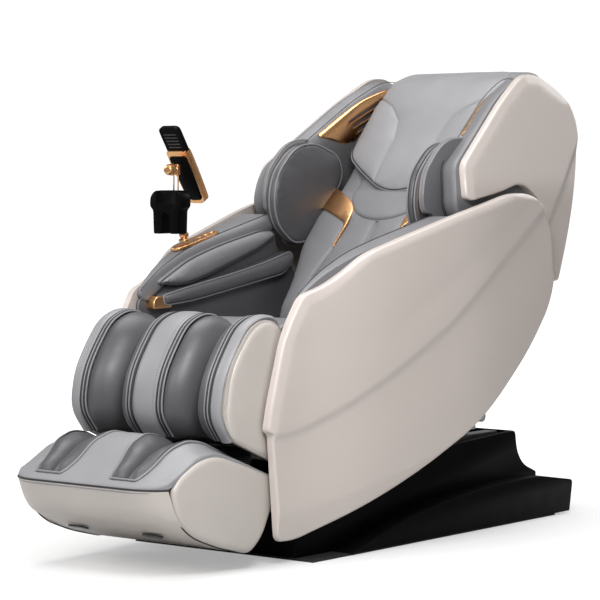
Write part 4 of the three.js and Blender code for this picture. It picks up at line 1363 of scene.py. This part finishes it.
FLOOR_HALF = 14.0
CAMERA_AT = (3.6886, -4.6251, 0.8779)
CAMERA_TURN = math.radians(38.5)
CAMERA_DIP = math.radians(2.9)
LIGHTS = [  # name, place in metres, width, power
    ("key", (0.6, -4.6, 3.2), 1.8, 90), ("left", (-4.2, -2.2, 2.6), 2.2, 60),
    ("near", (1.25, -1.35, 1.6), 0.7, 28), ("top", (-0.2, 0.3, 4.4), 3.0, 130),
    ("rear", (0.6, 4.6, 2.8), 2.4, 40),
]


def build_floor():
    """A flat pale floor."""
    brighten_floor()
    half = FLOOR_HALF
    data = bpy.data.meshes.new("floor")
    data.from_pydata([(-half, -half, 0), (half, -half, 0), (half, half, 0), (-half, half, 0)], [],
                     [(0, 1, 2, 3)])
    data.materials.append(FLOOR)
    ground = bpy.data.objects.new("floor", data)
    scene.collection.objects.link(ground)


def build_world():
    """Soft light from all round, and a white backdrop that only the camera sees."""
    world = bpy.data.worlds.new("studio")
    world.use_nodes = True
    tree = world.node_tree
    soft = tree.nodes["Background"]
    soft.inputs["Color"].default_value = (1, 1, 1, 1)
    soft.inputs["Strength"].default_value = 0.24
    backdrop = node(tree, "Background", Color=(1, 1, 1, 1), Strength=1.05)
    seen = node(tree, "LightPath").outputs["Is Camera Ray"]
    choose = node(tree, "MixShader", Fac=seen)
    tree.links.new(soft.outputs[0], choose.inputs[1])
    tree.links.new(backdrop.outputs[0], choose.inputs[2])
    tree.links.new(choose.outputs[0], tree.nodes["World Output"].inputs[0])
    scene.world = world
    scene.view_settings.view_transform = "Standard"


def build_lights():
    """Soft square lamps, all turned towards the middle of the chair."""
    for name, place, width, power in LIGHTS:
        light = bpy.data.lights.new(name, "AREA")
        light.size = width
        light.energy = power
        lamp = bpy.data.objects.new(name, light)
        lamp.location = place
        lamp.visible_camera = False
        aim = Vector((0, 0, 0.5)) - Vector(place)
        lamp.rotation_euler = aim.to_track_quat("-Z", "Y").to_euler()
        scene.collection.objects.link(lamp)


def build_camera():
    """The camera, at the photograph's viewing angle."""
    level = math.cos(CAMERA_DIP)
    forward = Vector((-math.sin(CAMERA_TURN) * level, math.cos(CAMERA_TURN) * level,
                      -math.sin(CAMERA_DIP)))
    lens = bpy.data.cameras.new("camera")
    lens.lens = 147
    lens.sensor_width = 36
    camera = bpy.data.objects.new("camera", lens)
    camera.location = CAMERA_AT
    camera.rotation_euler = forward.to_track_quat("-Z", "Y").to_euler()
    scene.collection.objects.link(camera)
    scene.camera = camera


build_shells()
for side, sign in SIDES:
    build_arm_pad(side, sign)
    build_arm_airbags(side, sign)
    build_arm_lining(side, sign)
build_controls()
build_holder()
build_remote()
build_wings()
build_back_cushion()
build_centre_pad()
build_head_pillow()
build_seat()
build_bridges()
build_leg_rest()
build_foot_cover()
for side, sign in SIDES:
    build_foot_well(side, sign)
    build_foot_side(side, sign)
build_foot_front()
build_bellows()
build_base()
paint_carried_nodes()
build_floor()
build_world()
build_lights()
build_camera()
